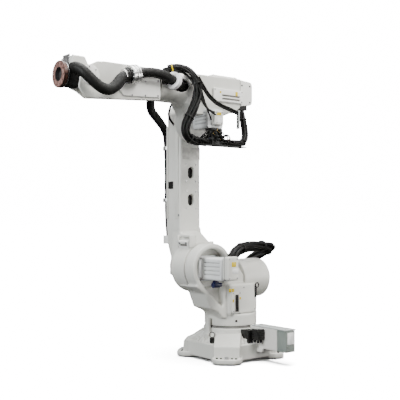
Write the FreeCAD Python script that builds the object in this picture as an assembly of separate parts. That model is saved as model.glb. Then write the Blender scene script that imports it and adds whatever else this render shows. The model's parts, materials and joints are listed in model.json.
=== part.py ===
import FreeCAD, Part
import math
import os

# Six-axis industrial robot arm, standing on the floor.
# Millimetres, +Z up. The origin is where axis 1 meets the floor. +X is the way the arm
# reaches at rest, +Y is the side of the rear connection box.

V = FreeCAD.Vector
X_WAY = V(1, 0, 0)
Y_WAY = V(0, 1, 0)
Z_WAY = V(0, 0, 1)

# ---------------------------------------------------------------- driving dimensions
SHOULDER_X = 320.0          # axis 2 ahead of axis 1
SHOULDER_Z = 780.0          # axis 2 above the floor
LOWER_ARM = 1240.0          # axis 2 to axis 3
ELBOW_RISE = 240.0          # axis 4 above axis 3
FOREARM_REACH = 1142.5      # axis 3 to axis 5, level
WRIST_REACH = 200.0         # axis 5 to the flange face
MOVING_GAP = 5.0            # between faces that turn past each other
FIT = 0.05                  # radial clearance of a shaft in its bore
SEAT = 0.3                  # between round faces that only sit on each other

# base
PAD_RADIUS = 45.0
PAD_HEIGHT = 12.0
PAD_CIRCLE = 350.0          # pads from axis 1
FOOT_REACH = 460.0
FOOT_WIDTH = 250.0
FOOT_THICKNESS = 38.0
FOOT_HOLE_RADIUS = 13.0
FOOT_HOLE_CIRCLE = 420.0    # foot bolts from axis 1
BLOCK_WIDTH = 215.0         # gusset block above each foot
BLOCK_REACH = 402.0
BLOCK_HEIGHT = 170.0
SKIRT_HALF = 330.0          # axis 1 to a flat side of the skirt
SKIRT_CORNER = 150.0        # cut off each corner of the skirt
SKIRT_BOTTOM = 26.0
SKIRT_TOP = 152.0
NECK_RADIUS = 235.0
NECK_FOOT_RADIUS = 305.0
NECK_TOP = 268.0
SPIGOT_RADIUS = 150.0
SPIGOT_LENGTH = 60.0
BEARING_RADIUS = 222.0
BEARING_HEIGHT = 14.0
RIB_THICKNESS = 14.0
POST_RADIUS = 21.0
POST_ANGLE = 2.0
POST_TOP = 350.0
BOX_WIDTH = 100.0           # connection box at the side
BOX_CENTRE_X = -80.0
BOX_END_Y = 650.0
BOX_BOTTOM = 112.0
BOX_TOP = 288.0
COVER_END_Y = 550.0         # the cast half of the box ends here
SHELF_END_Y = 390.0
COVER_SPREAD = 6.0
LID_THICKNESS = 9.0
LID_OVERHANG = 8.0
PLATE = 4.0                 # sheet plates

# turret
TURRET_BOTTOM = NECK_TOP + BEARING_HEIGHT + MOVING_GAP
TURRET_RING_RADIUS = 226.0
TURRET_RING_TOP = 385.0
DRUM_RADIUS = 205.0         # gear drum round axis 2
DRUM_FAR = 36.0             # its face beside the lower arm
DRUM_NEAR = 155.0
CRADLE_FAR = -70.0          # the body reaches under the arm's hub as far as this
RECESS_RADIUS = 166.0
RECESS_FLOOR = 74.0
TURRET_REAR = -168.0
WALL_REAR = -134.0
WALL_TOP = 640.0
SIDE_FACE = 190.0           # outer face of the side wall with the slot
PANEL_FACE = 200.0
SLOT_WIDTH = 32.0
SLOT_HEIGHT = 140.0
SLOT_X = 100.0
SLOT_Z = 480.0
HUB_RADIUS = 110.0          # shafts of axes 2 and 3
HUB_LENGTH = 30.0           # past the face of the piece that carries them
MOTOR_HALF_X = 72.0
MOTOR_HALF_Z = 92.0
MOTOR_END = 345.0
MOTOR_BOX_HALF_X = 56.0
MOTOR_BOX_HIGH = 106.0
MOTOR_BOX_LOW = 84.0
MOTOR_BOX_END = 415.0
BALANCER_Z = 670.0
BALANCER_RADIUS = 170.0
BALANCER_FRONT = -20.0
BALANCER_REAR = -310.0
BALANCER_CAP = 56.0
BALANCER_CAP_RADIUS = 112.0

# lower arm
ARM_NEAR = -143.0
ARM_FAR = ARM_NEAR - 200.0
ARM_FOOT_RADIUS = 212.0     # round end about axis 2
HUB_FACE = DRUM_FAR - MOVING_GAP
ARM_HUB_RADIUS = 200.0      # the same end, at the hub's face
RAMP_RADIUS = 310.0         # slope from the arm's near face out to the hub
ARM_FRONT = 120.0           # from the line of axes 2 and 3
ARM_BACK = -100.0
ARM_TOP = 150.0             # above axis 3
WINDOW_WIDTH = 63.0
WINDOW_HEIGHT = 100.0
WINDOW_DEPTH = 60.0
WINDOW_HEIGHTS = (570.0, 804.0)
SIDE_HOSE_RADIUS = 36.0
SIDE_HOSE_Y = -392.0
CLIP_HEIGHTS = (555.0, 1010.0)
CLIP_HEIGHT = 34.0

# upper arm
ELBOW_DISC_RADIUS = 185.0
ELBOW_FACE = ARM_NEAR + MOVING_GAP
HOUSING_NEAR = 125.0
HOUSING_FAR = -120.0
HOUSING_TOP = 132.0         # above axis 4
HOUSING_REAR = -330.0       # from axis 3, where the rear cover starts
COVER_REAR = -470.0
TUBE_RADIUS = 120.0
TUBE_END = 496.0
TUBE_START = 150.0
PORT_RADIUS = 54.0          # round hole in the barrel for the big hose
ELBOW_MOTOR_HALF = 80.0
ELBOW_MOTOR_END = 185.0
ELBOW_BOX_HALF_X = 44.0
ELBOW_BOX_HALF_Z = 60.0
ELBOW_BOX_END = 240.0
SLEEVE_RADIUS = 95.0        # shaft of axis 4
SLEEVE_LENGTH = 70.0
COVER_THICKNESS = 7.0       # round covers on the cheeks
UPPER_HOSE_RADIUS = 39.0
WRIST_HOSE_RADIUS = 42.0
BUNDLE_RADIUS = 35.0
REAR_BUNDLE_RADIUS = 32.0
LEAD_RADIUS = 9.0
HARNESS_RADIUS = 50.0
RING_WIDTH = 34.0
RING_RADIUS = 71.0
CLAMP_RADIUS = 68.0
CLAMP_WIDTH = 74.0
TRAY_Z = -222.0             # below axis 3

# forearm and wrist
FOREARM_START = 508.0       # from axis 3
CHEEK = 120.0               # half the forearm's width
WRIST_HALF = 93.0           # half the wrist's width, between the two cheeks
WRIST_SWING = 224.0         # reach of the wrist's corners from axis 5
PIVOT_RADIUS = 62.0         # pins of axis 5
PIVOT_LENGTH = 22.0
WRIST_BACK_RADIUS = 84.0
WRIST_TOP = 138.0
NECK_START = 60.0           # ahead of axis 5
TOP_END = 132.0
WRIST_NECK_RADIUS = 93.0
FLANGE_RADIUS = 100.0
FLANGE_THICKNESS = 26.0
FLANGE_BOLT_CIRCLE = 160.0
FLANGE_BOLT_RADIUS = 6.0
FLANGE_BOLT_DEPTH = 20.0
FLANGE_BOLTS = 11
FLANGE_BORE_RADIUS = 50.0
FLANGE_SHAFT_RADIUS = 62.0
FLANGE_SHAFT_LENGTH = 36.0

# ---------------------------------------------------------------- places worked out
SHOULDER = V(SHOULDER_X, 0, SHOULDER_Z)
ELBOW = SHOULDER + V(0, 0, LOWER_ARM)
ARM_AXIS = ELBOW + V(0, 0, ELBOW_RISE)
WRIST = ARM_AXIS + V(FOREARM_REACH, 0, 0)
FLANGE_FACE = WRIST + V(WRIST_REACH, 0, 0)
FOOT_ANGLES = (45, 135, 225, 315)


# ---------------------------------------------------------------- plain shapes
def box(x0, x1, y0, y1, z0, z1):
    return Part.makeBox(x1 - x0, y1 - y0, z1 - z0, V(x0, y0, z0))


def rod(start, way, radius, length):
    return Part.makeCylinder(radius, length, start, way)


def taper(start, way, first_radius, last_radius, length):
    return Part.makeCone(first_radius, last_radius, length, start, way)


def tube(start, way, outer, inner, length):
    return rod(start, way, outer, length).cut(rod(start, way, inner, length))


def corner(before, point, after, radius):
    """Two tangent points and the middle of the arc that rounds one corner."""
    to_before = (before - point).normalize()
    to_after = (after - point).normalize()
    half = to_before.getAngle(to_after) / 2
    reach = radius / math.tan(half)
    bisector = (to_before + to_after).normalize()
    middle = point + bisector * (radius / math.sin(half) - radius)
    return point + to_before * reach, middle, point + to_after * reach


def round_outline(points, radius):
    """Closed wire through the points, each corner rounded; radius may be a list."""
    count = len(points)
    radii = radius if isinstance(radius, (list, tuple)) else [radius] * count
    arcs = []
    for i, point in enumerate(points):
        arcs.append(corner(points[i - 1], point, points[(i + 1) % count], radii[i]))
    edges = []
    for i, (start, middle, end) in enumerate(arcs):
        edges.append(Part.Arc(start, middle, end).toShape())
        following = arcs[(i + 1) % count][0]
        if end.distanceToPoint(following) > 0.01:
            edges.append(Part.LineSegment(end, following).toShape())
    return Part.Wire(edges)


def plate_y(outline, y0, y1, radius=0):
    """Solid between y0 and y1 with an outline of (x, z) points."""
    points = [V(x, y0, z) for x, z in outline]
    return extruded(points, radius, V(0, y1 - y0, 0))


def plate_z(outline, z0, z1, radius=0):
    """Solid between z0 and z1 with an outline of (x, y) points."""
    points = [V(x, y, z0) for x, y in outline]
    return extruded(points, radius, V(0, 0, z1 - z0))


def extruded(points, radius, way):
    if radius:
        wire = round_outline(points, radius)
    else:
        wire = Part.makePolygon(points + points[:1])
    return Part.Face(wire).extrude(way)


def rounded_box(x0, x1, y0, y1, z0, z1, radius):
    """Box whose four edges along Y are rounded."""
    return plate_y([(x0, z0), (x1, z0), (x1, z1), (x0, z1)], y0, y1, radius)


def union(first, *rest):
    return first.multiFuse(list(rest)).removeSplitter()


def turned(shape, degrees):
    """Copy turned about axis 1."""
    copy = shape.copy()
    copy.rotate(V(0, 0, 0), Z_WAY, degrees)
    return copy


def at(origin, shape):
    """Copy moved so that its own origin lies on the given point."""
    copy = shape.copy()
    copy.translate(origin)
    return copy


def softened(shape, radius, wanted):
    """Fillet the edges that the function picks."""
    edges = [edge for edge in shape.Edges if wanted(edge)]
    return shape.makeFillet(radius, edges)


# ---------------------------------------------------------------- hoses
def bend_radius(before, point, after):
    """Largest arc that two runs leave room for."""
    shorter = min(before.distanceToPoint(point), after.distanceToPoint(point))
    turn = (point - before).getAngle(after - point)
    return 0.45 * shorter / math.tan(turn / 2)


def hose_route(points):
    """Straight runs joined by tangent arcs."""
    edges = []
    start = points[0]
    for i in range(1, len(points) - 1):
        before, point, after = points[i - 1], points[i], points[i + 1]
        into, middle, out = corner(before, point, after, bend_radius(before, point, after))
        edges.append(Part.LineSegment(start, into).toShape())
        edges.append(Part.Arc(into, middle, out).toShape())
        start = out
    edges.append(Part.LineSegment(start, points[-1]).toShape())
    return Part.Wire(edges)


def hose(name, places, radius, origin=V(0, 0, 0)):
    """Round tube along a route given relative to an origin; prints its least bend."""
    points = [origin + V(place) for place in places]
    route = hose_route(points)
    circle = Part.Wire(Part.Circle(points[0], points[1] - points[0], radius).toShape())
    solid = route.makePipeShell([circle], True, True)
    expected = math.pi * radius ** 2 * route.Length
    radii = [bend_radius(*points[i:i + 3]) for i in range(len(points) - 2)]
    print(name, "length %.0f" % route.Length, "least bend %.0f" % min(radii),
          "volume ratio %.4f" % (solid.Volume / expected))
    return solid


# ---------------------------------------------------------------- base
def foot_outline():
    half = FOOT_WIDTH / 2
    inner = PAD_CIRCLE - 150
    return [(inner, -half), (FOOT_REACH - 60, -half), (FOOT_REACH, -half + 50),
            (FOOT_REACH, half - 50), (FOOT_REACH - 60, half), (inner, half)]


def foot():
    """One foot along +X: its plate, the gusset block above it and its bolt hole."""
    plate_top = PAD_HEIGHT + FOOT_THICKNESS
    plate = plate_z(foot_outline(), PAD_HEIGHT, plate_top, [1, 40, 30, 30, 40, 1])
    inner = PAD_CIRCLE - 150
    side = [(inner, plate_top), (BLOCK_REACH, plate_top), (BLOCK_REACH - 6, BLOCK_HEIGHT - 22),
            (BLOCK_REACH - 60, BLOCK_HEIGHT), (NECK_RADIUS + 20, BLOCK_HEIGHT + 58),
            (inner, BLOCK_HEIGHT + 58)]
    block = plate_y(side, -BLOCK_WIDTH / 2, BLOCK_WIDTH / 2)
    hole = rod(V(FOOT_HOLE_CIRCLE, 0, PAD_HEIGHT), Z_WAY, FOOT_HOLE_RADIUS, BLOCK_HEIGHT)
    return union(plate, block).cut(hole)


def skirt():
    half = SKIRT_HALF
    cut = SKIRT_HALF - SKIRT_CORNER
    outline = [(half, -cut), (half, cut), (cut, half), (-cut, half),
               (-half, cut), (-half, -cut), (-cut, -half), (cut, -half)]
    return plate_z(outline, SKIRT_BOTTOM, SKIRT_TOP)


def base_casting():
    neck = taper(V(0, 0, SKIRT_TOP), Z_WAY, NECK_FOOT_RADIUS, NECK_RADIUS, 72)
    collar = rod(V(0, 0, SKIRT_TOP), Z_WAY, NECK_RADIUS, NECK_TOP - SKIRT_TOP)
    feet = [turned(foot(), angle) for angle in FOOT_ANGLES]
    ribs = []
    for angle in range(0, 360, 15):
        if (angle - 45) % 90 >= 30 and (angle - 45) % 90 <= 60:
            rib = box(NECK_RADIUS - 20, NECK_FOOT_RADIUS + 6, -RIB_THICKNESS / 2,
                      RIB_THICKNESS / 2, SKIRT_TOP - 10, SKIRT_TOP + 40)
            ribs.append(turned(rib, angle))
    return union(skirt(), neck, collar, *feet, *ribs)


def foot_pads():
    pads = []
    for angle in FOOT_ANGLES:
        pads.append(turned(rod(V(PAD_CIRCLE, 0, 0), Z_WAY, PAD_RADIUS, PAD_HEIGHT), angle))
    return Part.makeCompound(pads)


def bearing_ring():
    ring = rod(V(0, 0, NECK_TOP), Z_WAY, BEARING_RADIUS, BEARING_HEIGHT)
    spigot = rod(V(0, 0, NECK_TOP), Z_WAY, SPIGOT_RADIUS, BEARING_HEIGHT + SPIGOT_LENGTH)
    return union(ring, spigot)


def stop_post():
    """Fixed stop that limits the turret's turn, with its small switch beside it."""
    x = TURRET_RING_RADIUS + MOVING_GAP + POST_RADIUS
    height = POST_TOP - SKIRT_TOP
    post = rod(V(x, 0, SKIRT_TOP), Z_WAY, POST_RADIUS, height)
    foot_block = box(x - 20, x + 34, -30, 30, SKIRT_TOP, SKIRT_TOP + 70)
    switch = box(x - 6, x + 14, -36, -POST_RADIUS + 4, SKIRT_TOP + 108, SKIRT_TOP + 152)
    piece = turned(union(post, foot_block, switch), POST_ANGLE)
    return piece.cut(base_casting())


def box_sides(spread):
    half = BOX_WIDTH / 2 + spread
    return BOX_CENTRE_X - half, BOX_CENTRE_X + half


def side_box_cast():
    x0, x1 = box_sides(COVER_SPREAD)
    body = box(x0, x1, NECK_RADIUS - 40, COVER_END_Y, BOX_BOTTOM, BOX_TOP)
    shelf = box(x0 - 20, x1 + 20, SKIRT_HALF - 60, SHELF_END_Y,
                BOX_BOTTOM - 30, BOX_BOTTOM)
    return union(body, shelf).cut(base_casting()).cut(turning_room())


def turning_room():
    """Space that the turret sweeps, kept clear by everything on the base."""
    return rod(V(0, 0, NECK_TOP), Z_WAY, TURRET_RING_RADIUS + MOVING_GAP, SPIGOT_LENGTH)


def side_box():
    x0, x1 = box_sides(0)
    return box(x0, x1, COVER_END_Y, BOX_END_Y, BOX_BOTTOM, BOX_TOP)


def side_box_lid():
    x0, x1 = box_sides(LID_OVERHANG)
    start = TURRET_RING_RADIUS + 20
    return box(x0, x1, start, BOX_END_Y + LID_OVERHANG, BOX_TOP, BOX_TOP + LID_THICKNESS)


def side_box_end():
    x0, x1 = box_sides(-2)
    return box(x0, x1, BOX_END_Y, BOX_END_Y + PLATE, BOX_BOTTOM + 3, BOX_TOP - 2)


def base_connectors():
    """Two black plug blocks beside the neck, each with its row of cable glands."""
    pieces = []
    for x0, x1, y0, z1 in ((6, 76, 262, 264), (-20 - 4, 0, 262, 240)):
        pieces.append(box(x0, x1, y0 - 40, y0 + 52, SKIRT_TOP + 34, z1))
    row = pieces[0].fuse(pieces[1])
    for x in (20, 42, 62):
        row = row.fuse(rod(V(x, 296, SKIRT_TOP), Z_WAY, 9, 40))
    return row.cut(base_casting()).cut(side_box_cast())


def strap_loop():
    """Short lanyard: a black block on the casting with a wire loop on it."""
    block = box(272, 300, 84, 116, SKIRT_TOP, SKIRT_TOP + 46)
    loop = Part.makeTorus(22, 4, V(286, 100, SKIRT_TOP + 70), V(1, 0.9, 0))
    return union(block, loop).cut(base_casting())


# ---------------------------------------------------------------- turret
def turret_outline():
    """Side view of the turret's body, (x, z), without the gear drum."""
    x, z = SHOULDER_X, SHOULDER_Z
    front = [(x - 110, TURRET_RING_TOP - 26), (x - 57, z - 368), (x + 35, z - 331),
             (x + 87, z - 206), (x + 176, z - 146), (x + 162, z - 112)]
    top = [(x - 20, z + 60), (x - 180, z + 104), (x - 288, z - 6), (x - 385, z - 139),
           (TURRET_REAR, WALL_TOP - 46), (TURRET_REAR, TURRET_RING_TOP - 26)]
    return front + top


def turret_casting():
    ring = rod(V(0, 0, TURRET_BOTTOM), Z_WAY, TURRET_RING_RADIUS,
               TURRET_RING_TOP - TURRET_BOTTOM)
    drum = rod(SHOULDER + V(0, DRUM_FAR, 0), Y_WAY, DRUM_RADIUS, DRUM_NEAR - DRUM_FAR)
    body = plate_y(turret_outline(), CRADLE_FAR, DRUM_NEAR,
                   [10, 16, 20, 24, 5, 4, 10, 30, 40, 30, 20, 10])
    body = body.cut(arm_room())
    wall = plate_y([(WALL_REAR, TURRET_RING_TOP - 5), (SHOULDER_X - 150, TURRET_RING_TOP - 5),
                    (SHOULDER_X - 150, WALL_TOP), (WALL_REAR, WALL_TOP)],
                   DRUM_NEAR - 20, SIDE_FACE, 24)
    lug = box(SHOULDER_X - 80, SHOULDER_X - 42, DRUM_FAR, DRUM_FAR + 34,
              SHOULDER_Z + 150, SHOULDER_Z + DRUM_RADIUS + 16)
    solid = union(ring, drum, body, wall, lug)
    for cut in turret_cuts():
        solid = solid.cut(cut)
    return solid.removeSplitter()


def arm_room():
    """Room for the lower arm's hub to turn inside the turret's cradle."""
    depth = DRUM_FAR - CRADLE_FAR + 10
    start = SHOULDER + V(0, CRADLE_FAR - 10, 0)
    round_room = rod(start, Y_WAY, ARM_FOOT_RADIUS + MOVING_GAP, depth)
    ramp_room = rod(start, Y_WAY, RAMP_RADIUS + 2 * MOVING_GAP, depth)
    upper = box(SHOULDER_X - 400, SHOULDER_X + 400, CRADLE_FAR - 10, DRUM_FAR,
                SHOULDER_Z - 40, SHOULDER_Z + 400)
    return round_room.fuse(ramp_room.common(upper))


def turret_cuts():
    recess = rod(SHOULDER + V(0, RECESS_FLOOR, 0), Y_WAY, RECESS_RADIUS,
                 SIDE_FACE - RECESS_FLOOR + 10)
    corner_pocket = plate_y([(SHOULDER_X + 105, SHOULDER_Z - 140),
                             (SHOULDER_X - 118, SHOULDER_Z - 140),
                             (SHOULDER_X - 118, SHOULDER_Z - 345)],
                            RECESS_FLOOR + 20, SIDE_FACE + 10, [14, 10, 20])
    hub_bore = rod(SHOULDER + V(0, DRUM_FAR, 0), Y_WAY, HUB_RADIUS + FIT,
                   HUB_LENGTH)
    spigot_bore = rod(V(0, 0, TURRET_BOTTOM), Z_WAY, SPIGOT_RADIUS + FIT,
                      SPIGOT_LENGTH + MOVING_GAP)
    slot = plate_y(slot_outline(0), SIDE_FACE - 60, SIDE_FACE + 20, SLOT_WIDTH / 2 - 0.01)
    can_bore = rod(V(BALANCER_FRONT, 0, BALANCER_Z), X_WAY * -1, BALANCER_RADIUS, 400)
    return recess, corner_pocket, hub_bore, spigot_bore, slot, can_bore


def slot_outline(spread):
    half_x = SLOT_WIDTH / 2 + spread
    half_z = SLOT_HEIGHT / 2 + spread
    return [(SLOT_X - half_x, SLOT_Z - half_z), (SLOT_X + half_x, SLOT_Z - half_z),
            (SLOT_X + half_x, SLOT_Z + half_z), (SLOT_X - half_x, SLOT_Z + half_z)]


def service_panel():
    """Bolted cover on the side wall, with the tall slot for the brake release."""
    x1 = SHOULDER_X - 162
    z0 = TURRET_RING_TOP + 12
    z1 = WALL_TOP - 12
    outline = [(WALL_REAR + 10, z0), (x1, z0), (x1, z1), (WALL_REAR + 10, z1)]
    panel = plate_y(outline, SIDE_FACE, PANEL_FACE, 26)
    slot = plate_y(slot_outline(0), SIDE_FACE, PANEL_FACE, SLOT_WIDTH / 2 - 0.01)
    return panel.cut(slot)


def finned_body(half_x, half_z, y0, y1):
    """Motor body along +Y with long grooves in its four sides."""
    body = rounded_box(-half_x, half_x, y0, y1, -half_z, half_z, 18)
    groove = 9
    for height in (-0.55, -0.2, 0.15, 0.5):
        z = height * half_z
        for side in (-1, 1):
            x_outer = side * half_x
            x_inner = side * (half_x - 10)
            low, high = min(x_outer, x_inner), max(x_outer, x_inner)
            body = body.cut(box(low, high, y0 + 30, y1 - 20, z, z + groove))
    return body


def shoulder_motor():
    flange = rounded_box(-100, 100, RECESS_FLOOR, RECESS_FLOOR + 22, -105, 105, 30)
    body = finned_body(MOTOR_HALF_X, MOTOR_HALF_Z, RECESS_FLOOR + 22, MOTOR_END)
    return at(SHOULDER, union(flange, body))


def shoulder_motor_box():
    body = rounded_box(-MOTOR_BOX_HALF_X, MOTOR_BOX_HALF_X, MOTOR_END, MOTOR_BOX_END,
                       -MOTOR_BOX_LOW, MOTOR_BOX_HIGH, 16)
    return at(SHOULDER, body)


def motor_plug():
    """Blue plug under the motor, with the start of its lead."""
    top = SHOULDER + V(30, 190, -MOTOR_HALF_Z - 44)
    plug = rod(top, V(-0.35, 0, 0), 22, 62)
    collar = rod(top + V(-62, 0, 0), X_WAY * -1, 17, 22)
    seat = box(top.x - 50, top.x - 14, top.y - 15, top.y + 15, top.z + 10,
               SHOULDER_Z - MOTOR_HALF_Z)
    return union(plug, collar, seat)


def balancer():
    """Spring can that balances the lower arm, with its coned rear end."""
    length = BALANCER_FRONT - BALANCER_REAR
    can = rod(V(BALANCER_FRONT, 0, BALANCER_Z), X_WAY * -1, BALANCER_RADIUS - SEAT, length)
    cap = taper(V(BALANCER_REAR, 0, BALANCER_Z), X_WAY * -1, BALANCER_RADIUS - SEAT,
                BALANCER_CAP_RADIUS, BALANCER_CAP)
    return union(can, cap)


def harness_points():
    return [(196, 222, 800), (160, 220, 878), (85, 200, 932), (-54, 172, 955),
            (-207, 130, 950), (-360, 72, 944), (-500, -8, 930), (-562, -120, 902),
            (-486, -226, 840), (-372, -262, 744), (-300, -262, 620), (-258, -220, 510),
            (-228, -140, 452), (TURRET_REAR, -60, 440)]


def rear_harness():
    """Heavy bundle from the gland behind the motor, over and round the can, to the rear."""
    return hose("rear_harness", harness_points(), HARNESS_RADIUS).cut(turret_casting())


def harness_gland():
    """Block behind the motor that the harness comes out of."""
    gland = box(SHOULDER_X - 172, SHOULDER_X - 82, DRUM_NEAR, 272, 730, 800)
    return gland.cut(turret_casting()).cut(rear_harness())


def cable_hook():
    """Black strap hanging on the side wall."""
    x = WALL_REAR + 24
    band = box(x - 9, x + 9, PANEL_FACE, PANEL_FACE + 9, 520, 612)
    loop = Part.makeTorus(19, 5, V(x - 12, PANEL_FACE + 8, 622), Y_WAY)
    return union(band, loop)


# ---------------------------------------------------------------- lower arm
def arm_section(z, front, back, far, near):
    points = [V(back, near, z), V(front, near, z), V(front, far, z), V(back, far, z)]
    return round_outline(points, 14)


def arm_beam():
    """Tapered box beam from below axis 2 up to the chamfered end above axis 3."""
    sections = [(-60, 66, -60, ARM_FAR + 86), (30, 90, -88, ARM_FAR + 40),
                (170, 112, -96, ARM_FAR + 10), (330, ARM_FRONT, ARM_BACK, ARM_FAR),
                (LOWER_ARM + 60, ARM_FRONT - 3, ARM_BACK + 4, ARM_FAR + 8)]
    wires = [arm_section(z, f, b, far, ARM_NEAR) for z, f, b, far in sections]
    beam = Part.makeLoft(wires, True, True)
    top = LOWER_ARM + ARM_TOP
    front, back = ARM_FRONT - 3, ARM_BACK + 4
    low = LOWER_ARM + 60
    end = plate_y([(back, low), (front, low), (front, top - 74), (front - 46, top),
                   (back + 34, top), (back, top - 52)], ARM_FAR + 8, ARM_NEAR, [1, 1, 18, 18, 18, 18])
    return beam.fuse(end)


def arm_foot():
    """Domed round end about axis 2, and the web that spreads into it at the rear."""
    thick = ARM_NEAR - ARM_FAR
    dome = taper(V(0, ARM_NEAR, 0), Y_WAY * -1, ARM_FOOT_RADIUS, 120, thick * 0.74)
    web = plate_y([(40, -150), (150, -60), (118, 300), (ARM_BACK, 350), (-122, 232),
                   (-180, 100)], ARM_NEAR - thick * 0.55, ARM_NEAR, [10, 10, 10, 30, 60, 40])
    return dome.fuse(web).fuse(arm_hub())


def arm_hub():
    """Hub out to the turret's drum, and the slope that leads up from it."""
    reach = HUB_FACE - ARM_NEAR
    hub = taper(V(0, ARM_NEAR, 0), Y_WAY, ARM_FOOT_RADIUS, ARM_HUB_RADIUS, reach)
    slope = taper(V(0, ARM_NEAR, 0), Y_WAY, RAMP_RADIUS, ARM_HUB_RADIUS, reach)
    width = box(ARM_BACK - 6, ARM_FRONT - 2, ARM_NEAR, HUB_FACE, 0, RAMP_RADIUS)
    return hub.fuse(slope.common(width))


def window(height):
    half_x, half_z = WINDOW_WIDTH / 2, WINDOW_HEIGHT / 2
    return plate_y([(-half_x, height - half_z), (half_x, height - half_z),
                    (half_x, height + half_z), (-half_x, height + half_z)],
                   ARM_NEAR - WINDOW_DEPTH, ARM_NEAR, half_x - 0.01)


def lower_arm_casting():
    solid = union(arm_beam(), arm_foot())
    for height in WINDOW_HEIGHTS:
        solid = solid.cut(window(height))
    return at(SHOULDER, solid.removeSplitter())


def arm_hubs():
    """Shafts of axes 2 and 3, fixed in the lower arm's two ends."""
    low = rod(SHOULDER + V(0, HUB_FACE, 0), Y_WAY, HUB_RADIUS, HUB_LENGTH)
    high = rod(ELBOW + V(0, ARM_NEAR, 0), Y_WAY, HUB_RADIUS, HUB_LENGTH)
    return Part.makeCompound([low, high])


def arm_end_cap():
    """Round cover on the far side over axis 2."""
    far = ARM_NEAR - (ARM_NEAR - ARM_FAR) * 0.74
    disc = rod(SHOULDER + V(0, far - 14, 0), Y_WAY, 96, 14)
    return disc.cut(lower_arm_casting())


def arm_stop():
    """Bracket with the rubber stop, on the slope above axis 2."""
    bracket = plate_y([(78, 168), (140, 148), (160, 222), (100, 244)], -122, 14, 5)
    slot = plate_y([(96, 196), (170, 172), (176, 194), (102, 218)], -104, -4, 3)
    return at(SHOULDER, bracket.cut(slot).cut(arm_hub()))


def arm_clips():
    """Hose clips on the far side of the lower arm."""
    clips = []
    for height in CLIP_HEIGHTS:
        centre = SHOULDER + V(60, SIDE_HOSE_Y, height)
        ring = tube(centre, Z_WAY, SIDE_HOSE_RADIUS + 14, SIDE_HOSE_RADIUS + SEAT, CLIP_HEIGHT)
        tab = box(centre.x - 20, centre.x + 20, SIDE_HOSE_Y + SIDE_HOSE_RADIUS + 8, ARM_NEAR - 60,
                  centre.z, centre.z + CLIP_HEIGHT)
        clip = union(ring, tab.cut(lower_arm_casting()))
        clips.append(clip)
    return Part.makeCompound(clips)


def arm_plate():
    """Small dark plate on the front face."""
    x = ARM_FRONT + SHOULDER_X
    plate = box(x - 1.2, x + 6, -304, -241, SHOULDER_Z + 668, SHOULDER_Z + 731)
    return plate.cut(lower_arm_casting())


def side_hose():
    """Hose up the far side of the lower arm, and the thin lead beside it at the top."""
    top = LOWER_ARM
    axis = top + ELBOW_RISE
    places = [(46, SIDE_HOSE_Y + 6, 262), (60, SIDE_HOSE_Y, 400), (60, SIDE_HOSE_Y, top - 142),
              (112, SIDE_HOSE_Y + 14, top - 44), (236, SIDE_HOSE_Y + 70, top + 36),
              (376, SIDE_HOSE_Y + 160, top + 92), (448, -104, axis - 76)]
    main = hose("side_hose", places, SIDE_HOSE_RADIUS, SHOULDER)
    barrel = rod(SHOULDER + V(0, 0, axis), X_WAY, TUBE_RADIUS + SEAT, TUBE_END)
    lead_places = [(92, -236, top - 40), (152, -246, top + 10), (196, -216, top + 84),
                   (214, HOUSING_FAR - 2, top + 150)]
    lead = hose("side_lead", lead_places, LEAD_RADIUS, SHOULDER)
    room = at(ELBOW, plate_y(housing_outline(), HOUSING_FAR - SEAT, HOUSING_NEAR))
    arm = box(SHOULDER_X - 120, SHOULDER_X + ARM_FRONT, ARM_FAR, ARM_NEAR, ELBOW.z - 200, ELBOW.z + 200)
    main = main.cut(barrel)
    lead = lead.cut(room).cut(arm)
    return Part.makeCompound([main, lead])


def hose_gland():
    """Gland block low on the far side, where the hose leaves the arm."""
    block = box(12, 92, SIDE_HOSE_Y - 34, ARM_NEAR - 80, 190, 262)
    return at(SHOULDER, block).cut(lower_arm_casting()).cut(side_hose())


# ---------------------------------------------------------------- upper arm (from axis 3)
def housing_outline():
    low = ELBOW_RISE - 210
    return [(HOUSING_REAR, ELBOW_RISE - 110), (HOUSING_REAR + 30, ELBOW_RISE - 140),
            (-120, low), (150, low), (235, ELBOW_RISE - 124),
            (262, ELBOW_RISE + HOUSING_TOP - 12), (HOUSING_REAR, ELBOW_RISE + HOUSING_TOP)]


def elbow_housing():
    disc = rod(V(0, ELBOW_FACE, 0), Y_WAY, ELBOW_DISC_RADIUS, HOUSING_FAR - ELBOW_FACE + 105)
    body = plate_y(housing_outline(), HOUSING_FAR, HOUSING_NEAR, [1, 18, 30, 30, 26, 26, 1])
    riser = plate_y([(-150, 20), (140, -40), (190, 60), (235, ELBOW_RISE - 110),
                     (-200, ELBOW_RISE - 110)], HOUSING_FAR, -15)
    axis = V(0, 0, ELBOW_RISE)
    barrel = rod(axis + V(TUBE_START, 0, 0), X_WAY, TUBE_RADIUS, TUBE_END - TUBE_START)
    cone = taper(axis + V(200, 0, 0), X_WAY, 150, TUBE_RADIUS, 110)
    solid = union(body, disc, riser, barrel, cone)
    bore = rod(axis + V(TUBE_END - SLEEVE_LENGTH, 0, 0), X_WAY, SLEEVE_RADIUS + FIT,
               SLEEVE_LENGTH)
    hub_bore = rod(V(0, ELBOW_FACE, 0), Y_WAY, HUB_RADIUS + FIT, HUB_LENGTH)
    solid = solid.cut(bore).cut(hub_bore).cut(cable_port())
    return at(ELBOW, solid.removeSplitter())


def cable_port():
    """Round port in the side of the barrel where the big hose goes in."""
    start, toward = upper_hose_places()[:2]
    way = (toward - start).normalize()
    lift = V(0, 0, ELBOW_RISE)
    return rod(start + lift - way * 12, way, PORT_RADIUS, 260)


def upper_hose_places():
    """Route of the big hose from axis 4's height; the ring sits on its second run."""
    centre, way = clamp_places()
    return [V(232, 72, 4), V(330, 116, 18), V(470, 174, 48), V(560, 188, 66), V(660, 182, 68),
            centre - way * 74, centre]


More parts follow.
